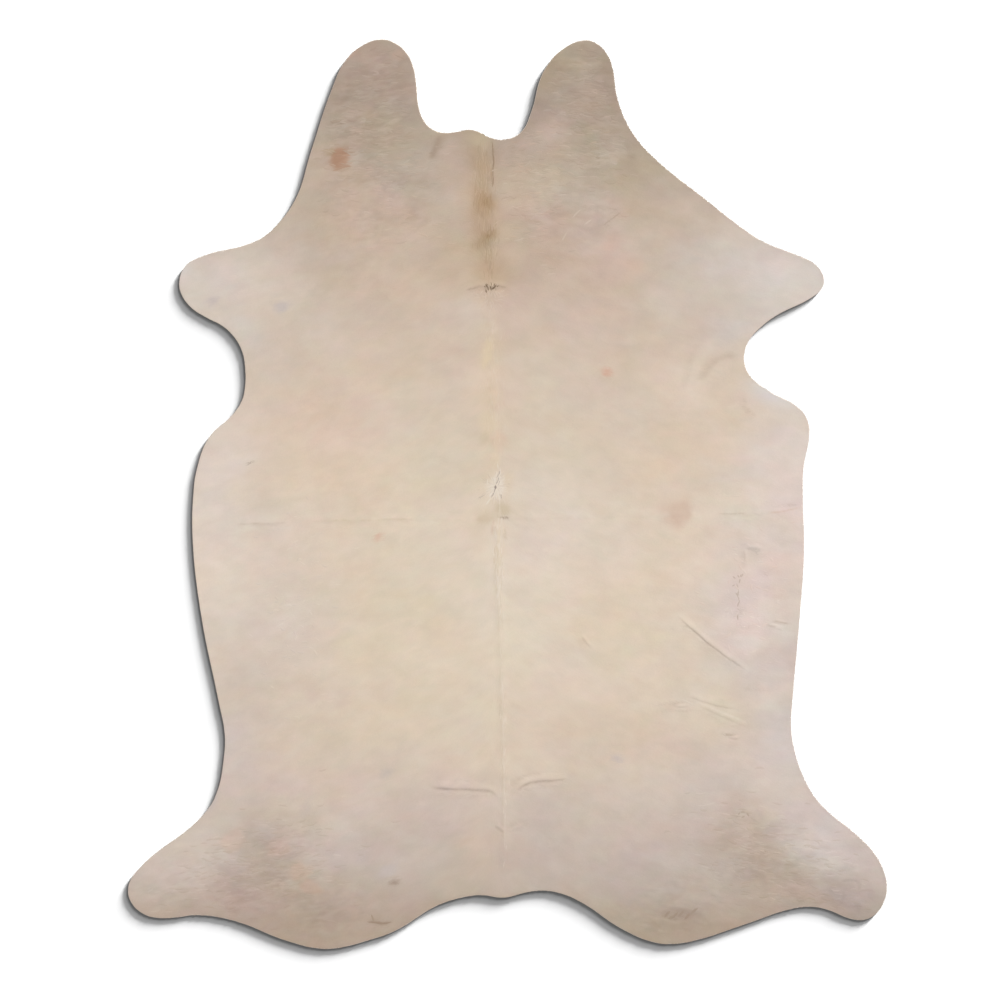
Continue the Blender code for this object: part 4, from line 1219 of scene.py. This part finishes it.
# Long locks on the body and short ones where the hair ripples, one to each square of two lattices.
# Each lies along the flow, give or take a chance turn. They are sorted from the neck to the rump,
# and cut into four pieces of like size.
def buildHair():
    dice = np.random.default_rng(lockSettings["seed"])

    def wanted(x, y, isFine):
        inside = edgeDistance(x, y) > lockSettings["edgeGap"]
        border = dice.uniform(*lockSettings["fineFrom"], x.shape)
        return inside & ((rippleStrength(x, y) >= border) == isFine)

    coarse = scattered(lockSettings["spacing"], dice, lambda x, y: wanted(x, y, False))
    fine = scattered(lockSettings["fineSpacing"], dice, lambda x, y: wanted(x, y, True))
    x, y = np.concatenate([coarse[0], fine[0]]), np.concatenate([coarse[1], fine[1]])
    isFine = np.arange(len(x)) >= len(coarse[0])
    share = dice.uniform(0.0, 1.0, len(x))
    low = np.where(isFine, lockSettings["fineLength"][0], lockSettings["length"][0])
    high = np.where(isFine, lockSettings["fineLength"][1], lockSettings["length"][1])
    length = low + (high - low) * share
    least, rest = lockSettings["nearFold"]
    length *= least + rest * smoothStep(0.5, 1.0, foldDistance(x, y) / lockSettings["foldReach"])
    width = dice.uniform(*lockSettings["width"], len(x))
    width = width * np.where(isFine, lockSettings["fineWidth"], 1.0)
    flowX, flowY = hairFlow(x, y)
    scatter = np.radians(lockSettings["scatter"])
    angle = np.arctan2(flowY, flowX) + scatter * dice.standard_normal(len(x))
    by, size, seed = lockSettings["turnClouds"]
    angle += by * clouds(x, y, size, seed)
    lift = lockSettings["layers"] * dice.uniform(0.0, 1.0, len(x))
    order = np.argsort(-y)
    corners = lockPlaces(*(values[order] for values in (x, y, length, width, angle, lift)))
    colours = lockColours(corners, dice)
    names = ("neck_hair", "chest_hair", "flank_hair", "rump_hair")
    bounds = np.linspace(0, len(corners), len(names) + 1).astype(int)
    print("hair:", len(corners), "locks")
    return [buildMany(name, corners[start:end], colours[start:end], lockFaces, lockPattern)
            for name, start, end in zip(names, bounds[:-1], bounds[1:])]


# Stray hairs: single longer hairs that stand out from the coat, at the partings, the whorls and
# the creases

strandSettings = {
    "height": 0.06,  # of a hair, in half widths
    "rest": 0.00006,  # how far above the coat they lie
    "bend": 0.10,  # sideways bend, in lengths
    "drawnBend": 0.3,  # share of the bend for the drawn hairs
    "seed": 4051,
    "zoneSpread": 0.6,  # spread of the roots, in half lengths and half widths of the zone
    "widths": (0.7, 1.2),  # range of the half width's share
    "edgeGap": 0.003,
    # Of each point of a hair: the share of its length, and the side, 1 for left and -1 for right.
    "points": ((0.0, 0), (0.33, 1), (0.33, -1), (0.33, 0), (0.70, 1), (0.70, -1), (0.70, 0), (1.0, 0)),
}

# Drawn one by one: tone, strength, half width, and the two ends of each hair.
strands = (
    ("partingBrown", 0.26, 0.0013, (-0.0372, 0.848, -0.0345, 0.808), (-0.035, 0.82, -0.034, 0.782),
        (-0.0342, 0.795, -0.035, 0.756), (-0.0348, 0.768, -0.0362, 0.736)),
    ("patchBrown", 0.5, 0.0012, (-0.0395, 0.79, -0.0392, 0.756), (-0.0385, 0.726, -0.039, 0.696),
        (-0.041, 0.65, -0.0415, 0.62), (-0.0405, 0.59, -0.041, 0.554)),
    ("darkHair", 0.6, 0.0016, (-0.053, 0.5047, -0.0454, 0.495), (-0.0545, 0.4935, -0.0495, 0.4825),
        (-0.042, 0.501, -0.0386, 0.488), (-0.026, 0.503, -0.0356, 0.4905),
        (-0.0482, 0.4985, -0.0452, 0.4885), (-0.0335, 0.498, -0.0372, 0.489),
        (-0.0268, 0.502, -0.0345, 0.4925)),
    ("darkHair", 0.45, 0.0013, (-0.051, 0.506, -0.0462, 0.5), (-0.03, 0.5065, -0.0318, 0.4985),
        (-0.0395, 0.509, -0.039, 0.5), (-0.057, 0.5, -0.052, 0.4965), (-0.0205, 0.501, -0.0262, 0.4975)),
    ("straw", 0.6, 0.0012, (-0.0402, 0.508, -0.0412, 0.499), (-0.0352, 0.5075, -0.0366, 0.4985),
        (-0.044, 0.496, -0.042, 0.485)),
    ("lightHair", 0.22, 0.0013, (-0.047, 0.488, -0.045, 0.474), (-0.0379, 0.486, -0.0372, 0.47),
        (-0.03, 0.488, -0.0215, 0.474), (-0.058, 0.489, -0.066, 0.478), (-0.052, 0.481, -0.054, 0.469),
        (-0.033, 0.485, -0.029, 0.47), (-0.024, 0.486, -0.015, 0.478), (-0.0425, 0.484, -0.043, 0.47)),
    ("greyHair", 0.56, 0.0016, (-0.016, 0.0595, -0.0262, 0.0385), (-0.02, 0.046, -0.0284, 0.0225),
        (-0.0278, 0.023, -0.0325, 0.001), (-0.0312, 0.005, -0.0395, -0.0085)),
    ("greyHair", 0.6, 0.001, (-0.0178, 0.033, -0.0225, 0.02), (-0.016, 0.002, -0.015, -0.012)),
    ("greyHair", 1, 0.0026, (-0.0286, 0.0215, -0.0292, 0.0115)),
    ("whiteHair", 0.4, 0.0012, (-0.0398, -0.009, -0.048, -0.0215), (-0.018, 0.066, -0.016, 0.042),
        (-0.023, 0.081, -0.0216, 0.058), (-0.0196, 0, -0.019, -0.02), (-0.0478, 0.038, -0.0484, 0.02),
        (-0.028, 0.04, -0.03, 0.026), (-0.035, 0.008, -0.044, -0.007), (-0.0235, 0.013, -0.021, -0.008),
        (-0.044, -0.013, -0.052, -0.026)),
    ("shade", 0.36, 0.0014, (0.566, -0.189, 0.56, -0.2005), (0.5525, -0.193, 0.557, -0.201),
        (0.5405, -0.197, 0.548, -0.203), (0.5585, -0.202, 0.556, -0.214),
        (0.5395, -0.2215, 0.546, -0.217), (0.5505, -0.213, 0.5548, -0.232),
        (0.553, -0.243, 0.5578, -0.262), (0.5562, -0.257, 0.5518, -0.271),
        (0.5525, -0.287, 0.5536, -0.303), (0.548, -0.236, 0.552, -0.244)),
    ("partingBrown", 0.22, 0.0015, (0.5548, -0.229, 0.552, -0.248), (0.562, -0.192, 0.5585, -0.199)),
    ("partingBrown", 0.16, 0.003, (0.3766, -1.0169, 0.391, -1.0001), (0.3933, -1.0193, 0.4102, -1.0025),
        (0.4102, -1.0145, 0.4246, -0.9977), (0.4246, -1.0217, 0.439, -1.0049),
        (0.439, -1.0097, 0.4582, -0.9929), (0.385, -1.02, 0.401, -1.011)),
    ("shade", 0.42, 0.0018, (0.5494, -0.7769, 0.559, -0.7625), (0.558, -0.763, 0.5734, -0.7625),
        (0.5734, -0.7625, 0.5806, -0.7745), (0.5614, -0.7769, 0.571, -0.7721)),
    ("shade", 0.26, 0.0016, (0.2278, 0.6439, 0.2518, 0.6619), (0.25, 0.66, 0.2734, 0.6775)),
    ("partingBrown", 0.22, 0.0022, (-0.338, -1.027, -0.296, -1.029), (-0.318, -1.03, -0.278, -1.027),
        (-0.327, -1.008, -0.32, -1.026)),
    ("lightHair", 0.2, 0.0019, (0.127, 0.6031, 0.1438, 0.6319), (0.154, 0.661, 0.179, 0.685),
        (0.183, 0.645, 0.203, 0.66)),
    ("lightHair", 0.45, 0.0014, (0.542, -0.142, 0.554, -0.147), (0.58, -0.293, 0.593, -0.297),
        (0.628, -0.312, 0.652, -0.315), (0.418, -0.492, 0.448, -0.506)),
)

# By chance: x, y, half length, half width, turn of the zone, count, heading in degrees or None for
# outward from its middle, spread, shortest and longest hair, half width, and the tones with
# their strengths.
strandZones = {
    "crest": (-0.058, 0.73, 0.11, 0.02, 91, 240, 90, 5, 0.014, 0.034, 0.0009, (("partingBrown", 0.09),
        ("oliveHair", 0.11), ("straw", 0.16), ("paleTan", 0.3))),
    "crestLow": (-0.044, 0.575, 0.07, 0.012, 91, 90, 90, 6, 0.012, 0.026, 0.0009, (("partingBrown", 0.12),
        ("oliveHair", 0.12), ("straw", 0.2))),
    "neckWhorlRays": (-0.04, 0.472, 0.024, 0.018, 0, 90, None, 12, 0.008, 0.018, 0.0009,
        (("lightHair", 0.2), ("straw", 0.18), ("roseTan", 0.16))),
    "backWhorl": (-0.028, 0.02, 0.02, 0.016, 90, 170, None, 10, 0.008, 0.018, 0.0009, (("whiteHair", 0.2),
        ("whiteHair", 0.12), ("greyHair", 0.12))),
    "upperSpine": (-0.036, 0.26, 0.16, 0.018, 91, 180, 270, 10, 0.01, 0.022, 0.001,
        (("lightHair", 0.18), ("straw", 0.2), ("roseTan", 0.12))),
    "lowerSpine": (-0.02, -0.16, 0.11, 0.008, 91, 170, 270, 5, 0.014, 0.034, 0.0012,
        (("lightHair", 0.36), ("straw", 0.26), ("olive", 0.18))),
    "tailSpine": (-0.01, -0.56, 0.24, 0.007, 91, 120, 270, 5, 0.012, 0.026, 0.001,
        (("lightHair", 0.26), ("olive", 0.1))),
    "rightNeckWaves": (0.08, 0.74, 0.14, 0.09, 90, 170, 184, 12, 0.014, 0.03, 0.0021,
        (("lightHair", 0.06), ("shade", 0.13), ("roseTan", 0.15))),
    "leftNeckWaves": (-0.25, 0.77, 0.14, 0.11, 90, 170, 184, 12, 0.014, 0.03, 0.0021,
        (("lightHair", 0.05), ("shade", 0.09), ("roseTan", 0.12))),
    "leftLobe": (-0.32, 0.92, 0.16, 0.08, 72, 260, 183, 10, 0.016, 0.036, 0.0024,
        (("shade", 0.15), ("shade", 0.1), ("lightHair", 0.05))),
    "rightLobe": (0.19, 0.92, 0.16, 0.08, 100, 260, 357, 10, 0.016, 0.036, 0.0024,
        (("shade", 0.15), ("shade", 0.1), ("lightHair", 0.05))),
    "leftHindLeg": (-0.59, -0.9, 0.19, 0.1, 15, 320, 186, 10, 0.014, 0.032, 0.0021,
        (("lightHair", 0.07), ("shade", 0.14), ("rumpTaupe", 0.26))),
    "rightHindLeg": (0.64, -0.89, 0.19, 0.09, -28, 320, 354, 10, 0.014, 0.032, 0.0021,
        (("lightHair", 0.07), ("shade", 0.14), ("rumpTaupe", 0.26))),
    "rightFlank": (0.59, -0.23, 0.16, 0.08, 90, 80, 0, 40, 0.01, 0.022, 0.0024,
        (("greyLilac", 0.08), ("lightHair", 0.08), ("pink", 0.1))),
    "leftFlank": (-0.52, -0.25, 0.2, 0.08, 90, 80, 0, 30, 0.01, 0.022, 0.0022,
        (("greyLilac", 0.14), ("lightHair", 0.14))),
}

# The form of one stray hair: root, two rings of left, right and top points, and tip, and their
# places along and across its square of the map.
strandFaces = ((1, 3, 6), (1, 6, 4), (2, 5, 6), (2, 6, 3), (0, 2, 3), (0, 3, 1), (7, 6, 5), (7, 4, 6),
               (1, 4, 5), (1, 5, 2), (0, 1, 2), (7, 5, 4))
strandAlong = (0.02, 0.33, 0.33, 0.33, 0.70, 0.70, 0.70, 0.98)
strandAcross = (0.30, 0.05, 0.55, 0.30, 0.05, 0.55, 0.30, 0.30)
strandPattern = [(strandAlong[k], strandAcross[k]) for face in strandFaces[:8] for k in face]
strandPattern += [
    (strandAlong[k], 0.62 + 0.6 * strandAcross[k]) for face in strandFaces[8:] for k in face]


# A stray hair is a low three-sided rod along a parabola, pointed at both ends. ends holds x, y of
# the root and of the tip, and bend is how far the middle moves aside, in lengths. The top points
# stand over the flat of their left and right points.
def strandPlaces(ends, halfWidth, bend):
    root, tip = ends[:, :2], ends[:, 2:]
    aside = np.column_stack([root[:, 1] - tip[:, 1], tip[:, 0] - root[:, 0]])
    length = np.hypot(*aside.T)[:, None]
    rows = []
    for station, side in strandSettings["points"]:
        place = root + (tip - root) * station + aside * bend[:, None] * 4.0 * station * (1.0 - station)
        place = place + aside / length * side * halfWidth[:, None]
        rows.append(np.column_stack([place, topHeight(*place.T) + strandSettings["rest"]]))
    for left, right, top in ((1, 2, 3), (4, 5, 6)):
        flat = 0.5 * (rows[left][:, 2] + rows[right][:, 2])
        rows[top][:, 2] = np.maximum(rows[top][:, 2], flat) + strandSettings["height"] * halfWidth
    return np.stack(rows, axis=1)


# The drawn hairs and those of the zones, as one piece. A hair's colour is the coat's at its
# middle, moved towards its own tone. A hair with an end too near to the cut edge is dropped.
def buildStrands():
    dice = np.random.default_rng(strandSettings["seed"])
    zoneSpread = strandSettings["zoneSpread"]
    ends, halfWidths, toneNames, strengths = [], [], [], []
    for toneName, strength, halfWidth, *hairs in strands:
        ends += hairs
        halfWidths += [halfWidth] * len(hairs)
        toneNames += [toneName] * len(hairs)
        strengths += [strength] * len(hairs)
    drawn = len(ends)
    ends = [np.array(ends)]
    for zone in strandZones.values():
        x, y, halfLength, halfWidth, turn, count, heading, spread, shortest, longest, thin, choices = zone
        u = halfLength * zoneSpread * dice.standard_normal(count)
        v = halfWidth * zoneSpread * dice.standard_normal(count)
        c, s = math.cos(math.radians(turn)), math.sin(math.radians(turn))
        offX, offY = u * c - v * s, u * s + v * c
        angle = np.arctan2(offY, offX) if heading is None else np.full(count, math.radians(heading))
        angle = angle + np.radians(spread) * dice.standard_normal(count)
        length = dice.uniform(shortest, longest, count)
        rootX, rootY = x + offX, y + offY
        tipX, tipY = rootX + length * np.cos(angle), rootY + length * np.sin(angle)
        ends.append(np.column_stack([rootX, rootY, tipX, tipY]))
        halfWidths += list(thin * dice.uniform(*strandSettings["widths"], count))
        picks = dice.integers(0, len(choices), count)
        toneNames += [choices[k][0] for k in picks]
        strengths += [choices[k][1] for k in picks]
    ends = np.vstack(ends)
    halfWidths, strengths = np.array(halfWidths), np.array(strengths)
    bend = strandSettings["bend"] * dice.standard_normal(len(ends))
    bend[:drawn] *= strandSettings["drawnBend"]
    nearest = np.minimum(edgeDistance(ends[:, 0], ends[:, 1]), edgeDistance(ends[:, 2], ends[:, 3]))
    kept = nearest > strandSettings["edgeGap"]
    corners = strandPlaces(ends[kept], halfWidths[kept], bend[kept])
    middle = 0.5 * (ends[kept, :2] + ends[kept, 2:])
    coat = coatTone(*middle.T)
    wanted = np.array([tones[name] for name in np.array(toneNames)[kept]], dtype=float)
    tone = coat + strengths[kept, None] * (wanted - coat)
    colours = linear(tone) / coatSettings["exposure"]
    print("stray hairs:", len(corners))
    colours = np.repeat(colours[:, None, :], corners.shape[1], axis=1)
    return buildMany("stray_hairs", corners, colours, strandFaces, strandPattern)


# Finishes

finishSettings = {
    "hairRoughness": 0.78,
    "hairSpecular": 0.22,
    "hairSheen": 0.10,
    "hairSheenRoughness": 0.45,
    "hairSheenTint": (1.0, 0.94, 0.86, 1.0),
    "hairGrain": (620.0, 2.0, 0.35),  # of the single hairs: noise scale, detail, stretch
    "hairGrainTint": 0.05,
    "hairBump": (0.10, 0.0004),  # strength, distance
    "skin": (0.62, 0.52, 0.43),
    "skinPale": (0.74, 0.66, 0.57),
    "suede": (0.60, 0.50, 0.40),
    "suedeDark": (0.50, 0.40, 0.31),
    "suedeRoughness": 0.95,
    "suedeSpecular": 0.15,
    "suedeSheen": 0.08,
    "suedeMix": (0.35, 0.68),  # noise values of the two colours
    "suedeDetail": 6.0,
    "nap": (8.0, 3.0, 0.0006),  # scale to that of the colours, detail, bump distance
    "cutScale": 160.0,
    "cutBump": 0.5,
    "suedeScale": 26.0,
    "suedeBump": 0.6,
}


# A material with its node tree and its shader, rough and glossy as given.
def newMaterial(name, roughness, specular):
    material = bpy.data.materials.new(name)
    material.use_nodes = True
    shader = material.node_tree.nodes["Principled BSDF"]
    shader.inputs["Roughness"].default_value = roughness
    shader.inputs["Specular IOR Level"].default_value = specular
    return material, material.node_tree, shader


# Noise on Object coordinates, stretched along y, as a factor.
def grain(tree, scale, detail, stretch=1.0):
    coordinates = tree.nodes.new("ShaderNodeTexCoord")
    mapping = tree.nodes.new("ShaderNodeMapping")
    mapping.inputs["Scale"].default_value = (1.0, stretch, 1.0)
    noise = tree.nodes.new("ShaderNodeTexNoise")
    noise.inputs["Scale"].default_value = scale
    noise.inputs["Detail"].default_value = detail
    tree.links.new(coordinates.outputs["Object"], mapping.inputs["Vector"])
    tree.links.new(mapping.outputs["Vector"], noise.inputs["Vector"])
    return noise.outputs["Fac"]


# Bends the shader's normal by a height value, as bump.
def bumped(tree, shader, height, strength, distance):
    bump = tree.nodes.new("ShaderNodeBump")
    bump.inputs["Strength"].default_value = strength
    bump.inputs["Distance"].default_value = distance
    tree.links.new(height, bump.inputs["Height"])
    tree.links.new(bump.outputs["Normal"], shader.inputs["Normal"])


# The coat: the piece's own colour attribute, varied a little by fine noise for single hairs.
def hairMaterial():
    material, tree, shader = newMaterial(
        "pale_hair", finishSettings["hairRoughness"], finishSettings["hairSpecular"])
    shader.inputs["Sheen Weight"].default_value = finishSettings["hairSheen"]
    shader.inputs["Sheen Roughness"].default_value = finishSettings["hairSheenRoughness"]
    shader.inputs["Sheen Tint"].default_value = finishSettings["hairSheenTint"]
    colour = tree.nodes.new("ShaderNodeAttribute")
    colour.attribute_name = "coatColour"
    fac = grain(tree, *finishSettings["hairGrain"])
    spread = tree.nodes.new("ShaderNodeMapRange")
    spread.inputs["To Min"].default_value = 1.0 - finishSettings["hairGrainTint"]
    spread.inputs["To Max"].default_value = 1.0 + finishSettings["hairGrainTint"]
    scale = tree.nodes.new("ShaderNodeVectorMath")
    scale.operation = "SCALE"
    tree.links.new(fac, spread.inputs["Value"])
    tree.links.new(colour.outputs["Color"], scale.inputs[0])
    tree.links.new(spread.outputs["Result"], scale.inputs["Scale"])
    tree.links.new(scale.outputs["Vector"], shader.inputs["Base Color"])
    bumped(tree, shader, fac, *finishSettings["hairBump"])
    return material


# Pale fibrous skin, or suede: two colours mixed by noise, with a nap of bump.
def skinMaterial(name, first, second, scale, bump):
    material, tree, shader = newMaterial(
        name, finishSettings["suedeRoughness"], finishSettings["suedeSpecular"])
    shader.inputs["Sheen Weight"].default_value = finishSettings["suedeSheen"]
    fac = grain(tree, scale, finishSettings["suedeDetail"])
    ramp = tree.nodes.new("ShaderNodeValToRGB")
    stops = zip(ramp.color_ramp.elements, finishSettings["suedeMix"], (first, second))
    for element, position, colour in stops:
        element.position = position
        element.color = (*colour, 1.0)
    tree.links.new(fac, ramp.inputs["Fac"])
    tree.links.new(ramp.outputs["Color"], shader.inputs["Base Color"])
    napScale, napDetail, napDistance = finishSettings["nap"]
    bumped(tree, shader, grain(tree, scale * napScale, napDetail), bump, napDistance)
    return material


hairFinish = hairMaterial()
edgeFinish = skinMaterial("cut_skin", finishSettings["skin"], finishSettings["skinPale"],
                          finishSettings["cutScale"], finishSettings["cutBump"])
fleshFinish = skinMaterial("suede", finishSettings["suedeDark"], finishSettings["suede"],
                           finishSettings["suedeScale"], finishSettings["suedeBump"])

sheet = buildSheet()
for finish in (hairFinish, edgeFinish, fleshFinish):
    sheet.data.materials.append(finish)
print("sheet:", len(sheet.data.polygons), "faces")
hair = buildHair() + [buildStrands()]
for piece in hair:
    piece.data.materials.append(hairFinish)

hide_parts("hide")


# The studio: a pale floor, a soft key from the upper right, a low lamp for the floor, and a camera
# straight above

studio = {
    "floorHalf": 14.0,
    "floorDrop": 0.0002,
    "floorGrey": 0.22,
    "floorFinish": (0.9, 0.1),  # roughness, specular
    "lampDistance": 3.0,
    "fill": 0.56,
    "keyStrength": 2.56,
    "keyElevation": 38.0,
    "keyAzimuth": 50.0,  # degrees from +X towards +Y
    "keySoftness": 24.0,
    "floorKeys": ((161.0, 3.8, 7.6), (17.3, 11.5, 21.0)),  # strength, elevation, softness
    "lens": 85.0,
    "sensorWidth": 36.0,
    "viewLimit": 100.0,
    "aim": (-0.01788, -0.01397),  # middle of the photo's frame on the floor
    "frameWidth": 2.4,
    "lookAtHeight": 0.004,
}


# A sun lamp that shines from an azimuth and an elevation, both in degrees.
def sunLamp(name, strength, azimuth, elevation, softness):
    lamp = bpy.data.lights.new(name, "SUN")
    lamp.energy = strength
    lamp.angle = math.radians(softness)
    holder = bpy.data.objects.new(name, lamp)
    a, e = math.radians(azimuth), math.radians(elevation)
    back = Vector((math.cos(a) * math.cos(e), math.sin(a) * math.cos(e), math.sin(e)))
    holder.rotation_euler = back.to_track_quat("Z", "Y").to_euler()
    holder.location = back * studio["lampDistance"]
    bpy.context.scene.collection.objects.link(holder)
    return holder


# A collection that only tells a lamp what it lights.
def collectionOf(name, members):
    group = bpy.data.collections.new(name)
    for member in members:
        group.objects.link(member)
    return group


# The floor, the key that lights the hide alone, the low lamps that light the floor alone, and a
# white world as fill.
def buildStudio():
    half = studio["floorHalf"]
    corners = np.array([(-half, -half), (half, -half), (half, half), (-half, half)])
    places = np.column_stack([corners, np.full(4, -studio["floorDrop"])])
    mesh = newMesh("floor", places, [np.array([[0, 1, 2, 3]])])
    floor = bpy.data.objects.new("floor", mesh)
    bpy.context.scene.collection.objects.link(floor)
    material, _, shader = newMaterial("pale_floor", *studio["floorFinish"])
    shader.inputs["Base Color"].default_value = (*[studio["floorGrey"]] * 3, 1.0)
    mesh.materials.append(material)
    azimuth = studio["keyAzimuth"]
    key = sunLamp("key", studio["keyStrength"], azimuth, studio["keyElevation"], studio["keySoftness"])
    key.light_linking.receiver_collection = collectionOf("lit_by_key", [sheet] + hair)
    litFloor = collectionOf("lit_by_floor_keys", [floor])
    for number, (strength, elevation, softness) in enumerate(studio["floorKeys"]):
        low = sunLamp("floor_key_%d" % number, strength, azimuth, elevation, softness)
        low.light_linking.receiver_collection = litFloor
    world = bpy.data.worlds.new("studio")
    world.use_nodes = True
    background = world.node_tree.nodes["Background"]
    background.inputs["Color"].default_value = (1.0, 1.0, 1.0, 1.0)
    background.inputs["Strength"].default_value = studio["fill"]
    bpy.context.scene.world = world
    bpy.context.scene.view_settings.view_transform = "Standard"


# Straight above the photo's middle, as high as the frame's width asks: width / 2 over half the
# sensor divided by the lens.
def buildCamera():
    data = bpy.data.cameras.new("camera")
    data.lens = studio["lens"]
    data.sensor_width = studio["sensorWidth"]
    camera = bpy.data.objects.new("camera", data)
    distance = studio["frameWidth"] / 2 / (data.sensor_width / 2 / data.lens)
    camera.location = (*studio["aim"], studio["lookAtHeight"] + distance)
    data.clip_end = studio["viewLimit"]
    bpy.context.scene.collection.objects.link(camera)
    bpy.context.scene.camera = camera


buildStudio()
buildCamera()
